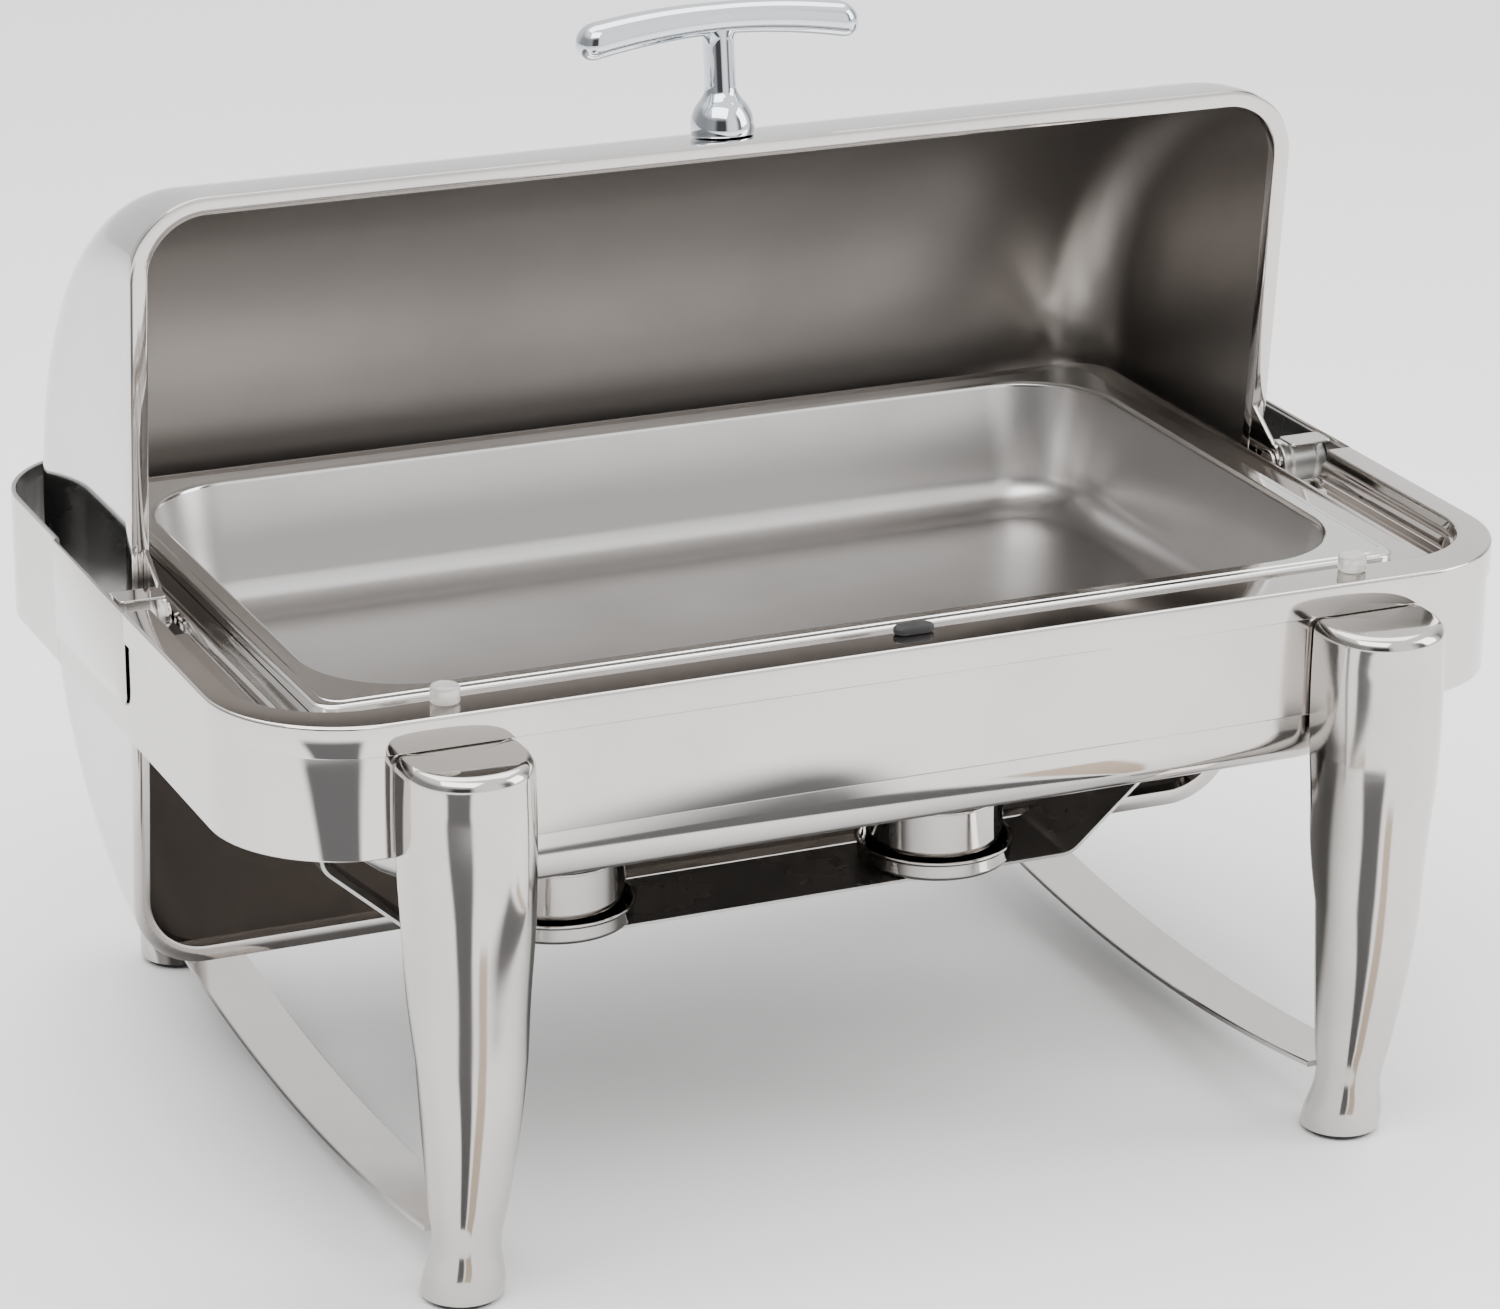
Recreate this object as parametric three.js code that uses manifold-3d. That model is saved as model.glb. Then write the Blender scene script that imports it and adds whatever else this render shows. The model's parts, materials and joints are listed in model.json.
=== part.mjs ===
// Roll-top chafing dish: a full-size food pan over a water basin, held in a rounded
// rectangular apron on four sabre legs, with a barrel lid that rolls back on two side
// hinges, and two fuel holders on a shelf below. Millimetres, +Z up, X along the front,
// -Y is the serving side, origin on the table under the middle of the body.
import * as THREE from "three";
import * as BufferGeometryUtils from "three/addons/utils/BufferGeometryUtils.js";
import Module from "manifold-3d";

const wasm = await Module();
wasm.setup();

// ---------------------------------------------------------------- driving dimensions
const GAP = 0.3; // clearance between pieces that touch
const SHEET = 1.2; // body sheet thickness
const BODY = { halfX: 310.6, halfY: 204.6, corner: 61, top: 271.1, bottom: 211.4 };
const RIM_TOP = 272.7;
const SKIRT_BOTTOM = 262.7;
const DECK_END = -30; // the front deck stops short of the hinges
const APRON_SEAM = 80; // joint between front and rear apron sheets
const FLOOR_Z = 259; // trough floor and hinge axis level

const PAN = { halfX: 265, halfY: 162.5, midY: 5.5, top: 265, floor: 200, corner: 10 };
const PAN_FLANGE = 13.5;
const PAN_OPEN_CORNER = 48;
const PAN_DRAFT = 8;
const PAN_SHEET = 0.8;
const PAN_EDGE = 6; // turned-down edge of the pan flange
const LEDGE_Z = PAN.top - PAN_EDGE - GAP;

const BASIN = { halfX: 252, front: -203.1, rear: 170, corner: 60, bottom: 183, top: 254, radius: 22 };

const PIVOT = { y: 0, z: FLOOR_Z };
const LID = { halfX: 292, radius: 192.6, shift: -3.4, plane: 22, fillet: 36, sheet: 1.6 };
const LID_LEAN = 5.387; // degrees the open rim plane leans towards the front
const LID_BAND = 8.3; // width of the folded rim
const LID_LIP = 7; // depth of the folded rim
const LID_STEPS = 24; // facets round the barrel
const HANDLE_ANGLE = 12.5; // degrees behind the rim plane, round the barrel

const LEG_X = 220.5;
const LEG_BASE = 2.3; // leg metal starts above its glide
const SHELF = { top: 84, front: -33, rear: 19, halfX: 163, sheet: 1.5 };
const BURNER = { x: 99.5, y: -9.5, dishR: 37.5, cupR: 33.5, cupTop: 119 };
const ROUND = 24; // segments of turned pieces

// ---------------------------------------------------------------- materials
const steel = (name, color, roughness) =>
  new THREE.MeshStandardMaterial({ name, color, roughness, metalness: 1 });
const MIRROR = steel("mirror_steel", 0xcfcdc9, 0.12);
const SATIN = steel("satin_steel", 0xb8b4ae, 0.35);
const CHROME = steel("chrome", 0xd9dee4, 0.05);
const SILICONE = new THREE.MeshStandardMaterial({ name: "silicone", color: 0xd8d4cc, roughness: 0.3 });
const RUBBER = new THREE.MeshStandardMaterial({ name: "rubber", color: 0x151515, roughness: 0.7 });
const PAINT = new THREE.MeshStandardMaterial({ name: "can_paint", color: 0xb9a05a, roughness: 0.5 });

const part = new THREE.Group();

function place(name, geometry, material) {
  const mesh = new THREE.Mesh(geometry, material);
  mesh.name = name;
  part.add(mesh);
  return mesh;
}

// ---------------------------------------------------------------- mesh helpers

// Closed body from points and index triples: equal points are merged, empty triangles
// are dropped and the winding is turned so that faces look outwards.
function solid(points, triples) {
  const ids = new Map();
  const kept = [];
  const remap = points.map((p) => {
    const key = p.map((v) => Math.round(v * 1e4)).join(",");
    if (!ids.has(key)) {
      ids.set(key, kept.length);
      kept.push(p);
    }
    return ids.get(key);
  });
  let index = triples.map((t) => t.map((i) => remap[i]));
  index = index.filter(([a, b, c]) => a !== b && b !== c && c !== a);
  const volume = index.reduce((sum, [a, b, c]) => {
    const [p, q, r] = [kept[a], kept[b], kept[c]].map((v) => new THREE.Vector3(...v));
    return sum + p.dot(q.cross(r));
  }, 0);
  if (volume < 0) {
    index = index.map(([a, b, c]) => [a, c, b]);
  }
  const geometry = new THREE.BufferGeometry();
  geometry.setAttribute("position", new THREE.Float32BufferAttribute(kept.flat(), 3));
  geometry.setIndex(index.flat());
  return geometry;
}

// Skin over rows of points. Loops are closed along each row; wrapped joins last to first.
function skin(rows, { closed = true, wrapped = false, caps = false }) {
  const count = rows[0].length;
  const points = rows.flat();
  const triples = [];
  const rowTurns = wrapped ? rows.length : rows.length - 1;
  const columnTurns = closed ? count : count - 1;
  for (let i = 0; i < rowTurns; i += 1) {
    const next = (i + 1) % rows.length;
    for (let j = 0; j < columnTurns; j += 1) {
      const k = (j + 1) % count;
      triples.push([i * count + j, i * count + k, next * count + k]);
      triples.push([i * count + j, next * count + k, next * count + j]);
    }
  }
  if (caps) {
    addFan(points, triples, 0, count, true);
    addFan(points, triples, (rows.length - 1) * count, count, false);
  }
  return { points, triples };
}

// Fan over one loop of points, round its middle.
function addFan(points, triples, start, count, reversed) {
  const middle = new THREE.Vector3();
  for (let j = 0; j < count; j += 1) {
    middle.add(new THREE.Vector3(...points[start + j]));
  }
  middle.divideScalar(count);
  const centre = points.length;
  points.push(middle.toArray());
  for (let j = 0; j < count; j += 1) {
    const a = start + j;
    const b = start + ((j + 1) % count);
    triples.push(reversed ? [centre, b, a] : [centre, a, b]);
  }
}

// Rounded rectangle loop, anticlockwise seen from above.
function ring(halfX, front, rear, corner, z, steps = 4) {
  const centres = [
    [halfX - corner, rear - corner, 0],
    [corner - halfX, rear - corner, 90],
    [corner - halfX, front + corner, 180],
    [halfX - corner, front + corner, 270],
  ];
  return centres.flatMap(([x, y, start]) =>
    Array.from({ length: steps + 1 }, (_, i) => {
      const angle = THREE.MathUtils.degToRad(start + (90 * i) / steps);
      return [x + corner * Math.cos(angle), y + corner * Math.sin(angle), z];
    }),
  );
}

// U-shaped path: from the left end, round two corners, to the right end. side = -1 is
// the front of the body, +1 the rear.
function uPath(halfX, reach, corner, z, end, side, steps = 6) {
  const path = [[-halfX, end, z]];
  for (const turn of [-1, 1]) {
    for (let i = 0; i <= steps; i += 1) {
      const angle = (Math.PI / 2) * (i / steps);
      const along = turn < 0 ? Math.cos(angle) : Math.sin(angle);
      const out = turn < 0 ? Math.sin(angle) : Math.cos(angle);
      path.push([turn * (halfX - corner + corner * along), side * (reach - corner + corner * out), z]);
    }
  }
  path.push([halfX, end, z]);
  return path;
}

// Sheet whose section is given by U-shaped levels, closed at its two flat ends.
function uSheet(levels, end, side) {
  const rows = levels.map(([halfX, reach, corner, z]) => uPath(halfX, reach, corner, z, end, side));
  const { points, triples } = skin(rows, { closed: false, wrapped: true });
  const count = rows[0].length;
  for (const column of [0, count - 1]) {
    const outline = rows.map((row) => new THREE.Vector2(row[column][0], row[column][2]));
    for (const face of THREE.ShapeUtils.triangulateShape(outline, [])) {
      const ids = face.map((i) => i * count + column);
      triples.push(column === 0 ? ids : ids.reverse());
    }
  }
  return orient(points, triples);
}

// Turns the end faces to agree with the walls they close.
function orient(points, triples) {
  const used = new Set();
  const fixed = triples.map((t) => {
    const edges = (v) => [[v[0], v[1]], [v[1], v[2]], [v[2], v[0]]].map((e) => e.join("-"));
    const face = edges(t).some((e) => used.has(e)) ? [...t].reverse() : t;
    edges(face).forEach((e) => used.add(e));
    return face;
  });
  return solid(points, fixed);
}

function pressed(rings) {
  const { points, triples } = skin(rings, { caps: true });
  return solid(points, triples);
}

// Turned piece about +Z from [radius, z] points that start and end on the axis, or close.
function turned(profile, segments = ROUND) {
  const points = profile.map(([r, z]) => new THREE.Vector2(r, z));
  const geometry = new THREE.LatheGeometry(points, segments);
  geometry.rotateX(Math.PI / 2);
  return geometry;
}

function disc(radius, low, high, segments = ROUND) {
  return turned([[0, low], [radius, low], [radius, high], [0, high]], segments);
}

function toManifold(geometry) {
  const bare = geometry.clone();
  bare.deleteAttribute("normal");
  bare.deleteAttribute("uv");
  const merged = BufferGeometryUtils.mergeVertices(bare, 1e-4);
  const mesh = new wasm.Mesh({
    numProp: 3,
    vertProperties: new Float32Array(merged.attributes.position.array),
    triVerts: new Uint32Array(merged.index.array),
  });
  return new wasm.Manifold(mesh);
}

function fromManifold(manifold) {
  const mesh = manifold.getMesh();
  const geometry = new THREE.BufferGeometry();
  geometry.setAttribute("position", new THREE.Float32BufferAttribute([...mesh.vertProperties], 3));
  geometry.setIndex([...mesh.triVerts]);
  return geometry;
}

function extruded(shape, depth, curveSegments = 12) {
  return new THREE.ExtrudeGeometry(shape, { depth, bevelEnabled: false, curveSegments });
}

// Smooth value through [z, value] stations.
function through(stations) {
  const curve = new THREE.SplineCurve(stations.map(([z, v]) => new THREE.Vector2(z, v)));
  const samples = curve.getPoints(120);
  return (z) => {
    const i = samples.findIndex((p) => p.x >= z);
    if (i <= 0) {
      return samples[i === 0 ? 0 : samples.length - 1].y;
    }
    const [a, b] = [samples[i - 1], samples[i]];
    return a.y + ((b.y - a.y) * (z - a.x)) / (b.x - a.x || 1);
  };
}

// ---------------------------------------------------------------- body

// Front deck: turned-down skirt, flat rim, step, and the drip trough beside the pan.
function frontDeck() {
  const skin1 = BODY.halfX + GAP;
  const out = skin1 + SHEET;
  const reach = BODY.halfY + GAP;
  const levels = [
    [out, reach + SHEET, 63, SKIRT_BOTTOM],
    [out, reach + SHEET, 63, RIM_TOP - 1.3],
    [out - 1.2, reach, 62, RIM_TOP],
    [299, 184, 46, RIM_TOP],
    [298, 183.2, 45, FLOOR_Z],
    [282.4, 182.1, 24.6, FLOOR_Z],
    [282.4, 182.1, 24.6, FLOOR_Z - SHEET],
    [299.2, 184.4, 46, FLOOR_Z - SHEET],
    [300.2, 185.2, 47, RIM_TOP - SHEET],
    [skin1, reach, 61.5, RIM_TOP - SHEET],
    [skin1, reach, 61.5, SKIRT_BOTTOM],
  ];
  return uSheet(levels, DECK_END, -1);
}

function apron(end, side, top) {
  const levels = [
    [BODY.halfX, BODY.halfY, BODY.corner, BODY.bottom],
    [BODY.halfX, BODY.halfY, BODY.corner, top],
    [BODY.halfX - SHEET, BODY.halfY - SHEET, BODY.corner - SHEET, top],
    [BODY.halfX - SHEET, BODY.halfY - SHEET, BODY.corner - SHEET, BODY.bottom],
  ];
  return uSheet(levels, end, side);
}

// Raised lap plate on each side, over the seam region beside the hinge.
function lapPlate(side) {
  const low = 226;
  const [start, finish] = [DECK_END + GAP, APRON_SEAM - GAP];
  const round = 8;
  const shape = new THREE.Shape();
  shape.moveTo(start, RIM_TOP);
  shape.lineTo(start, low + round);
  shape.quadraticCurveTo(start, low, start + round, low);
  shape.lineTo(finish, low);
  shape.lineTo(finish, RIM_TOP);
  shape.closePath();
  const geometry = extruded(shape, SHEET, 4);
  geometry.applyMatrix4(new THREE.Matrix4().makeBasis(
    new THREE.Vector3(0, 1, 0),
    new THREE.Vector3(0, 0, 1),
    new THREE.Vector3(1, 0, 0),
  ));
  const face = BODY.halfX + GAP;
  geometry.translate(side > 0 ? face : -face - SHEET, 0, 0);
  return geometry;
}

// Ledge that carries the food pan, with a drip ridge round it.
function collar() {
  const rings = [
    ring(281.8, -181.5, 181, 24, 256.5),
    ring(281.8, -181.5, 181, 24, 260.5),
    ring(279.6, -179.3, 178.8, 22, 263),
    ring(276.5, -176, 176, 20, 261.5),
    ring(268, -160.5, 171.2, 13, LEDGE_Z),
    ring(253, -145.6, 156.6, 44, LEDGE_Z),
    ring(253, -145.6, 156.6, 44, LEDGE_Z - SHEET),
    ring(268.2, -160.7, 171.4, 13, LEDGE_Z - SHEET),
    ring(276.6, -176.1, 176.1, 20, 260.2),
    ring(279.4, -179.1, 178.6, 22, 261.5),
    ring(280.6, -180.3, 179.8, 23, 260),
    ring(280.6, -180.3, 179.8, 23, 256.5),
  ];
  const { points, triples } = skin(rings, { wrapped: true });
  return solid(points, triples);
}

// Rings of a drawn pan's wall and floor radius, from the floor up to its rim.
function drawnRings({ halfX, front, rear, corner, floor, radius, draft }, top, steps = 3) {
  const rings = [];
  for (let i = 0; i <= steps; i += 1) {
    const angle = (Math.PI / 2) * (i / steps);
    const inset = draft + radius * (1 - Math.sin(angle));
    const z = floor + radius * (1 - Math.cos(angle));
    rings.push(ring(halfX - inset, front + inset, rear - inset, Math.max(corner - inset, 6), z));
  }
  rings.push(ring(halfX, front, rear, corner, top));
  return rings;
}

function waterBasin() {
  const outer = { ...BASIN, floor: BASIN.bottom, draft: 0 };
  const inner = {
    halfX: BASIN.halfX - SHEET,
    front: BASIN.front + SHEET,
    rear: BASIN.rear - SHEET,
    corner: BASIN.corner - SHEET,
    floor: BASIN.bottom + SHEET,
    radius: BASIN.radius - SHEET,
    draft: 0,
  };
  return pressed([...drawnRings(outer, BASIN.top), ...drawnRings(inner, BASIN.top).reverse()]);
}

function foodPan() {
  const rect = (inset, corner, z) =>
    ring(PAN.halfX - inset, PAN.midY - PAN.halfY + inset, PAN.midY + PAN.halfY - inset, corner, z);
  const wall = (grow) => ({
    halfX: PAN.halfX - PAN_FLANGE + grow,
    front: PAN.midY - PAN.halfY + PAN_FLANGE - grow,
    rear: PAN.midY + PAN.halfY - PAN_FLANGE + grow,
    corner: PAN_OPEN_CORNER + grow,
    floor: PAN.floor + PAN_SHEET - grow,
    radius: 20 + grow,
    draft: PAN_DRAFT,
  });
  const low = PAN.top - PAN_EDGE;
  return pressed([
    ...drawnRings(wall(0), PAN.top - 2.5),
    rect(PAN_FLANGE - 0.8, PAN_OPEN_CORNER + 0.8, PAN.top - 0.7),
    rect(PAN_FLANGE - 2.5, PAN_OPEN_CORNER + 2.5, PAN.top),
    rect(1, PAN.corner - 1, PAN.top),
    rect(0, PAN.corner, PAN.top - 1),
    rect(0, PAN.corner, low),
    rect(PAN_SHEET, PAN.corner - PAN_SHEET, low),
    rect(PAN_SHEET, PAN.corner - PAN_SHEET, PAN.top - 1.4),
    rect(PAN_FLANGE - 2.8, PAN_OPEN_CORNER + 2.8, PAN.top - 0.9),
    ...drawnRings(wall(PAN_SHEET), PAN.top - 2.9).reverse(),
  ]);
}

// ---------------------------------------------------------------- lid

const LEAN = THREE.MathUtils.degToRad(LID_LEAN);
// In-plane upward direction and backward normal of the open rim plane, as [y, z].
const LID_UP = [-Math.sin(LEAN), Math.cos(LEAN)];
const LID_BACK = [Math.cos(LEAN), Math.sin(LEAN)];

// Point of the lid: x across, u up the rim plane from the axis, w back from the axis.
function lidPoint(x, u, w) {
  return [x, PIVOT.y + u * LID_UP[0] + w * LID_BACK[0], PIVOT.z + u * LID_UP[1] + w * LID_BACK[1]];
}

// One skin of the barrel: rows go round the barrel from the bottom rim to the top rim, and
// each row runs down one flat end, over the rounded edge, across and down the other end.
function lidRows(inset, plane, rowCount, filletSteps) {
  const halfX = LID.halfX - inset;
  const radius = LID.radius - inset;
  const fillet = LID.fillet - inset;
  const rows = [];
  for (let i = 0; i <= rowCount; i += 1) {
    const share = -1 + (2 * i) / rowCount;
    const at = (x, reach) => {
      const angle = share * Math.acos(plane / reach);
      return lidPoint(x, LID.shift + reach * Math.sin(angle), reach * Math.cos(angle));
    };
    const half = [];
    const low = (radius - fillet) * Math.sin(share * Math.acos(plane / (radius - fillet)));
    half.push([halfX, LID.shift + low]);
    for (let k = 0; k <= filletSteps; k += 1) {
      const t = (Math.PI / 2) * (k / filletSteps);
      half.push([halfX - fillet * (1 - Math.cos(t)), radius - fillet * (1 - Math.sin(t))]);
    }
    const side = (sign) => half.map(([x, v], k) => (k === 0 ? lidPoint(sign * x, v, plane) : at(sign * x, v)));
    rows.push([...side(-1), ...side(1).reverse()]);
  }
  return rows;
}

// The boundary of a skin, in order round the opening.
function lidEdge(rows) {
  const last = rows[0].length - 1;
  const bottom = rows[0].slice(1, last);
  const right = rows.map((row) => row[last]);
  const top = rows[rows.length - 1].slice(1, last).reverse();
  const left = rows.map((row) => row[0]).reverse();
  return [...bottom, ...right, ...top, ...left];
}

function lidShell() {
  const outer = lidRows(0, LID.plane, LID_STEPS, 4);
  const inner = lidRows(LID.sheet, LID.plane + LID_LIP, LID_STEPS, 4);
  const band = lidRows(LID_BAND, LID.plane, LID_STEPS, 4);
  const lip = lidRows(LID_BAND, LID.plane + LID_LIP, LID_STEPS, 4);
  const points = [];
  const triples = [];
  const append = (patch) => {
    const base = points.length;
    points.push(...patch.points);
    triples.push(...patch.triples.map((t) => t.map((i) => i + base)));
  };
  const shellSkin = skin(outer, { closed: false });
  const innerSkin = skin(inner, { closed: false });
  const rim = skin([outer, band, lip, inner].map(lidEdge), {});
  for (const patch of [innerSkin, rim]) {
    patch.triples = patch.triples.map((t) => [...t].reverse());
  }
  append(shellSkin);
  append(innerSkin);
  append(rim);
  return solid(points, triples);
}

// Hinge arm: a plate whose round eye turns on the pin and whose straight edge meets the
// rim of the lid.
function hingeArm(side) {
  const eye = 10;
  const bore = 4.3;
  const [below, above] = [-24, 22];
  const reach = LID.plane - GAP;
  const shape = new THREE.Shape();
  shape.moveTo(above, reach);
  shape.lineTo(below, reach);
  shape.lineTo(-eye, 0);
  shape.absarc(0, 0, eye, Math.PI, 2 * Math.PI, false);
  shape.closePath();
  shape.holes.push(new THREE.Path().absarc(0, 0, bore, 0, 2 * Math.PI, true));
  const geometry = extruded(shape, 2.2, 16);
  const [u, w] = [LID_UP, LID_BACK];
  geometry.applyMatrix4(new THREE.Matrix4().makeBasis(
    new THREE.Vector3(0, u[0], u[1]),
    new THREE.Vector3(0, w[0], w[1]),
    new THREE.Vector3(-1, 0, 0),
  ));
  const face = 284.2;
  geometry.translate(side > 0 ? face + 2.2 : -face, PIVOT.y, PIVOT.z);
  return geometry;
}

// Turned hinge piece about the axis, its length given outwards from the lid.
function onAxis(geometry, side) {
  geometry.rotateY(side > 0 ? Math.PI / 2 : -Math.PI / 2);
  geometry.translate(0, PIVOT.y, PIVOT.z);
  return geometry;
}

function hinges() {
  for (const [word, side] of [["left", -1], ["right", 1]]) {
    place(`hinge_arm_${word}`, hingeArm(side), MIRROR);
    const pin = [[0, 282.2], [7, 282.2], [7, 283.9], [4, 283.9], [4, 308.8], [0, 308.8]];
    place(`hinge_pin_${word}`, onAxis(turned(pin), side), MIRROR);
    const barrel = [[4.3, 286.7], [11, 286.7], [11, 304], [12.2, 304], [12.2, 309.1], [4.3, 309.1], [4.3, 286.7]];
    place(`hinge_barrel_${word}`, onAxis(turned(barrel), side), SATIN);
    const cap = new THREE.BoxGeometry(22, 14, SHEET);
    cap.translate(side * 298, -9, RIM_TOP - SHEET / 2);
    place(`hinge_cap_${word}`, cap, MIRROR);
  }
}

// T-handle: domed base, waisted post and an arched grip, in one casting.
function handle() {
  const post = [
    [0, 0.4], [14.6, 0.4], [15, 4], [14.3, 9], [12.3, 13.5], [9.6, 17], [7.7, 20.5], [7.4, 26], [7.4, 52], [0, 52],
  ];
  const grip = gripGeometry();
  const whole = toManifold(turned(post)).add(toManifold(grip));
  const mesh = place("lid_handle", fromManifold(whole), CHROME);
  const angle = THREE.MathUtils.degToRad(HANDLE_ANGLE);
  const tilt = angle - LEAN;
  const y = LID.shift * LID_UP[0] + LID.radius * Math.sin(tilt);
  const z = PIVOT.z + LID.shift * LID_UP[1] + LID.radius * Math.cos(tilt);
  mesh.position.set(0, y, z);
  mesh.rotation.x = -tilt;
}

// Grip: oval sections along an arc, closing on round ends.
function gripGeometry() {
  const half = 70;
  const rise = 7;
  const rings = [];
  const stations = 14;
  for (let i = 0; i <= stations; i += 1) {
    const t = -Math.cos((Math.PI * i) / stations);
    const x = half * t;
    const end = Math.max(0, Math.abs(x) - (half - 8)) / 8;
    const size = Math.max(Math.sqrt(1 - end * end), 0.05);
    const z = 54 - rise * t * t;
    const deep = (8.5 + 1.5 * Math.abs(t)) * size;
    const thick = (7.6 + 1.2 * Math.abs(t)) * size;
    rings.push(Array.from({ length: 12 }, (_, k) => {
      const angle = (2 * Math.PI * k) / 12;
      return [x, deep * Math.cos(angle), z + thick * Math.sin(angle)];
    }));
  }
  return pressed(rings);
}

// ---------------------------------------------------------------- legs

const legFront = through([[0, -220], [9, -222.3], [26, -223], [50, -229], [95, -238.5], [145, -243], [200, -247.5], [240, -246]]);
const legBack = through([[0, -182.5], [9, -186], [26, -192.3], [50, -193], [95, -194], [145, -196], [183, -203.5], [200, -204.9], [260, -204.9]]);
const legWidth = through([[0, 18.8], [9, 18.5], [26, 15.5], [50, 18], [95, 22.5], [145, 26.2], [200, 29], [235, 29.5], [260, 29]]);
const LEG_TOP = 258;
const LEG_SIDES = 20;

// One leg section at height z: an oval at the ankle that turns into a D at the panel.
function legSection(z, grow) {
  const round = 6;
  const over = Math.max(0, z - (LEG_TOP - round)) / round;
  const shrink = Math.sqrt(1 - Math.min(over, 0.97) ** 2);
  const back = Math.min(legBack(z), -204.9 * (z > 195 ? 1 : 0)) + grow;
  const front = back - grow - (back - grow - legFront(z)) * (0.85 + 0.15 * shrink) - grow;
  const half = legWidth(z) * (0.84 + 0.16 * shrink) + grow;
  const square = THREE.MathUtils.clamp((z - 120) / 80, 0, 1);
  const mid = THREE.MathUtils.lerp((front + back) / 2, back - 8, square);
  return Array.from({ length: LEG_SIDES }, (_, k) => {
    const angle = (2 * Math.PI * k) / LEG_SIDES;
    const [c, s] = [Math.cos(angle), Math.sin(angle)];
    const power = s > 0 ? 1 - 0.75 * square : 1 - 0.12 * square;
    const x = half * Math.sign(c) * Math.abs(c) ** power;
    const deep = s > 0 ? back - mid : mid - front;
    const y = mid + deep * Math.sign(s) * Math.abs(s) ** power;
    return [x, y, z];
  });
}

function legGeometry(low, high, grow) {
  const rings = [];
  const levels = [low, 10, 18, 27, 42, 70, 105, 145, 183, 200, 238, 252, 255, 257.2, high];
  for (const z of levels.filter((v) => v >= low && v <= high)) {
    rings.push(legSection(z, grow));
  }
  return pressed(rings);
}

function placeLegs() {
  for (const [end, sy] of [["front", 1], ["rear", -1]]) {
    for (const [word, side] of [["left", -1], ["right", 1]]) {
      const leg = legGeometry(LEG_BASE, LEG_TOP, 0);
      const glide = disc(16.5, 0, LEG_BASE - GAP);
      glide.translate(0, legMiddle(LEG_BASE), 0);
      const turn = sy < 0 ? Math.PI : 0;
      const legMesh = place(`leg_${end}_${word}`, leg, MIRROR);
      const glideMesh = place(`foot_glide_${end}_${word}`, glide, RUBBER);
      for (const mesh of [legMesh, glideMesh]) {
        mesh.rotation.z = turn;
        mesh.position.x = side * LEG_X;
      }
    }
  }
}

function legMiddle(z) {
  return (legFront(z) + legBack(z)) / 2;
}

// Brace between the front and rear leg of one side: a flat bar hanging in a shallow arc,
// its ends shaped to the legs.
function brace(side) {
  const thick = 3;
  const half = 15;
  const height = (y) => 13 + 17 * (y / 198) ** 2;
  const rows = [];
  const span = 196;
  for (let i = 0; i <= 16; i += 1) {
    const y = -span + (2 * span * i) / 16;
    const z = height(y);
    rows.push([[-half, y, z], [half, y, z], [half, y, z + thick], [-half, y, z + thick]]);
  }
  let bar = toManifold(pressed(rows));
  for (const turn of [0, Math.PI]) {
    const cutter = legGeometry(LEG_BASE, 60, GAP);
    cutter.rotateZ(turn);
    bar = bar.subtract(toManifold(cutter));
  }
  const pieces = bar.decompose().sort((a, b) => b.volume() - a.volume());
  const geometry = fromManifold(pieces[0]);
  geometry.translate(side * LEG_X, 0, 0);
  return geometry;
}

// ---------------------------------------------------------------- fuel holders

// Shelf: one strip bent down from the basin to carry the fuel holders.
function shelf() {
  const tab = BASIN.bottom - GAP;
  const t = SHELF.sheet;
  const right = [[SHELF.halfX, SHELF.top], [222, 136], [226, tab - t], [206, tab - t]];
  const rightLow = [[206, tab], [227.6, tab], [223.6, 135.4], [SHELF.halfX + 0.6, SHELF.top - t]];
  const mirror = (list) => list.map(([x, z]) => [-x, z]).reverse();
  const outline = [...right, ...rightLow, ...mirror(rightLow), ...mirror(right)];
  const shape = new THREE.Shape(outline.map(([x, z]) => new THREE.Vector2(x, z)));
  const geometry = extruded(shape, SHELF.rear - SHELF.front);
  geometry.rotateX(Math.PI / 2);
  geometry.translate(0, SHELF.rear, 0);
  return geometry;
}

function fuelCup() {
  const base = SHELF.top + 2.5;
  const r = BURNER.cupR;
  return turned([
    [0, base], [r - 3, base], [r, base + 3], [r, BURNER.cupTop - 1], [r + 1.4, BURNER.cupTop - 1],
    [r + 1.4, BURNER.cupTop], [r - 1, BURNER.cupTop], [r - 1, base + 3.2], [r - 3.2, base + 1], [0, base + 1],
  ]);
}

function fuelDish() {
  const base = SHELF.top + GAP;
  const r = BURNER.dishR;
  return turned([
    [0, base], [r - 2, base], [r, base + 2], [r, base + 9], [r + 1.5, base + 10], [r + 1.5, base + 10.8],
    [r - 0.6, base + 10.2], [r - 1, base + 2.4], [r - 2.4, base + 1.2], [0, base + 1.2],
  ]);
}

function fuelCan() {
  const base = SHELF.top + 4;
  const r = 30;
  return turned([
    [0, base], [r, base], [r, base + 27], [r - 4, base + 28.5], [18, base + 28.5], [16, base + 24], [0, base + 24],
  ]);
}

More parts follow.
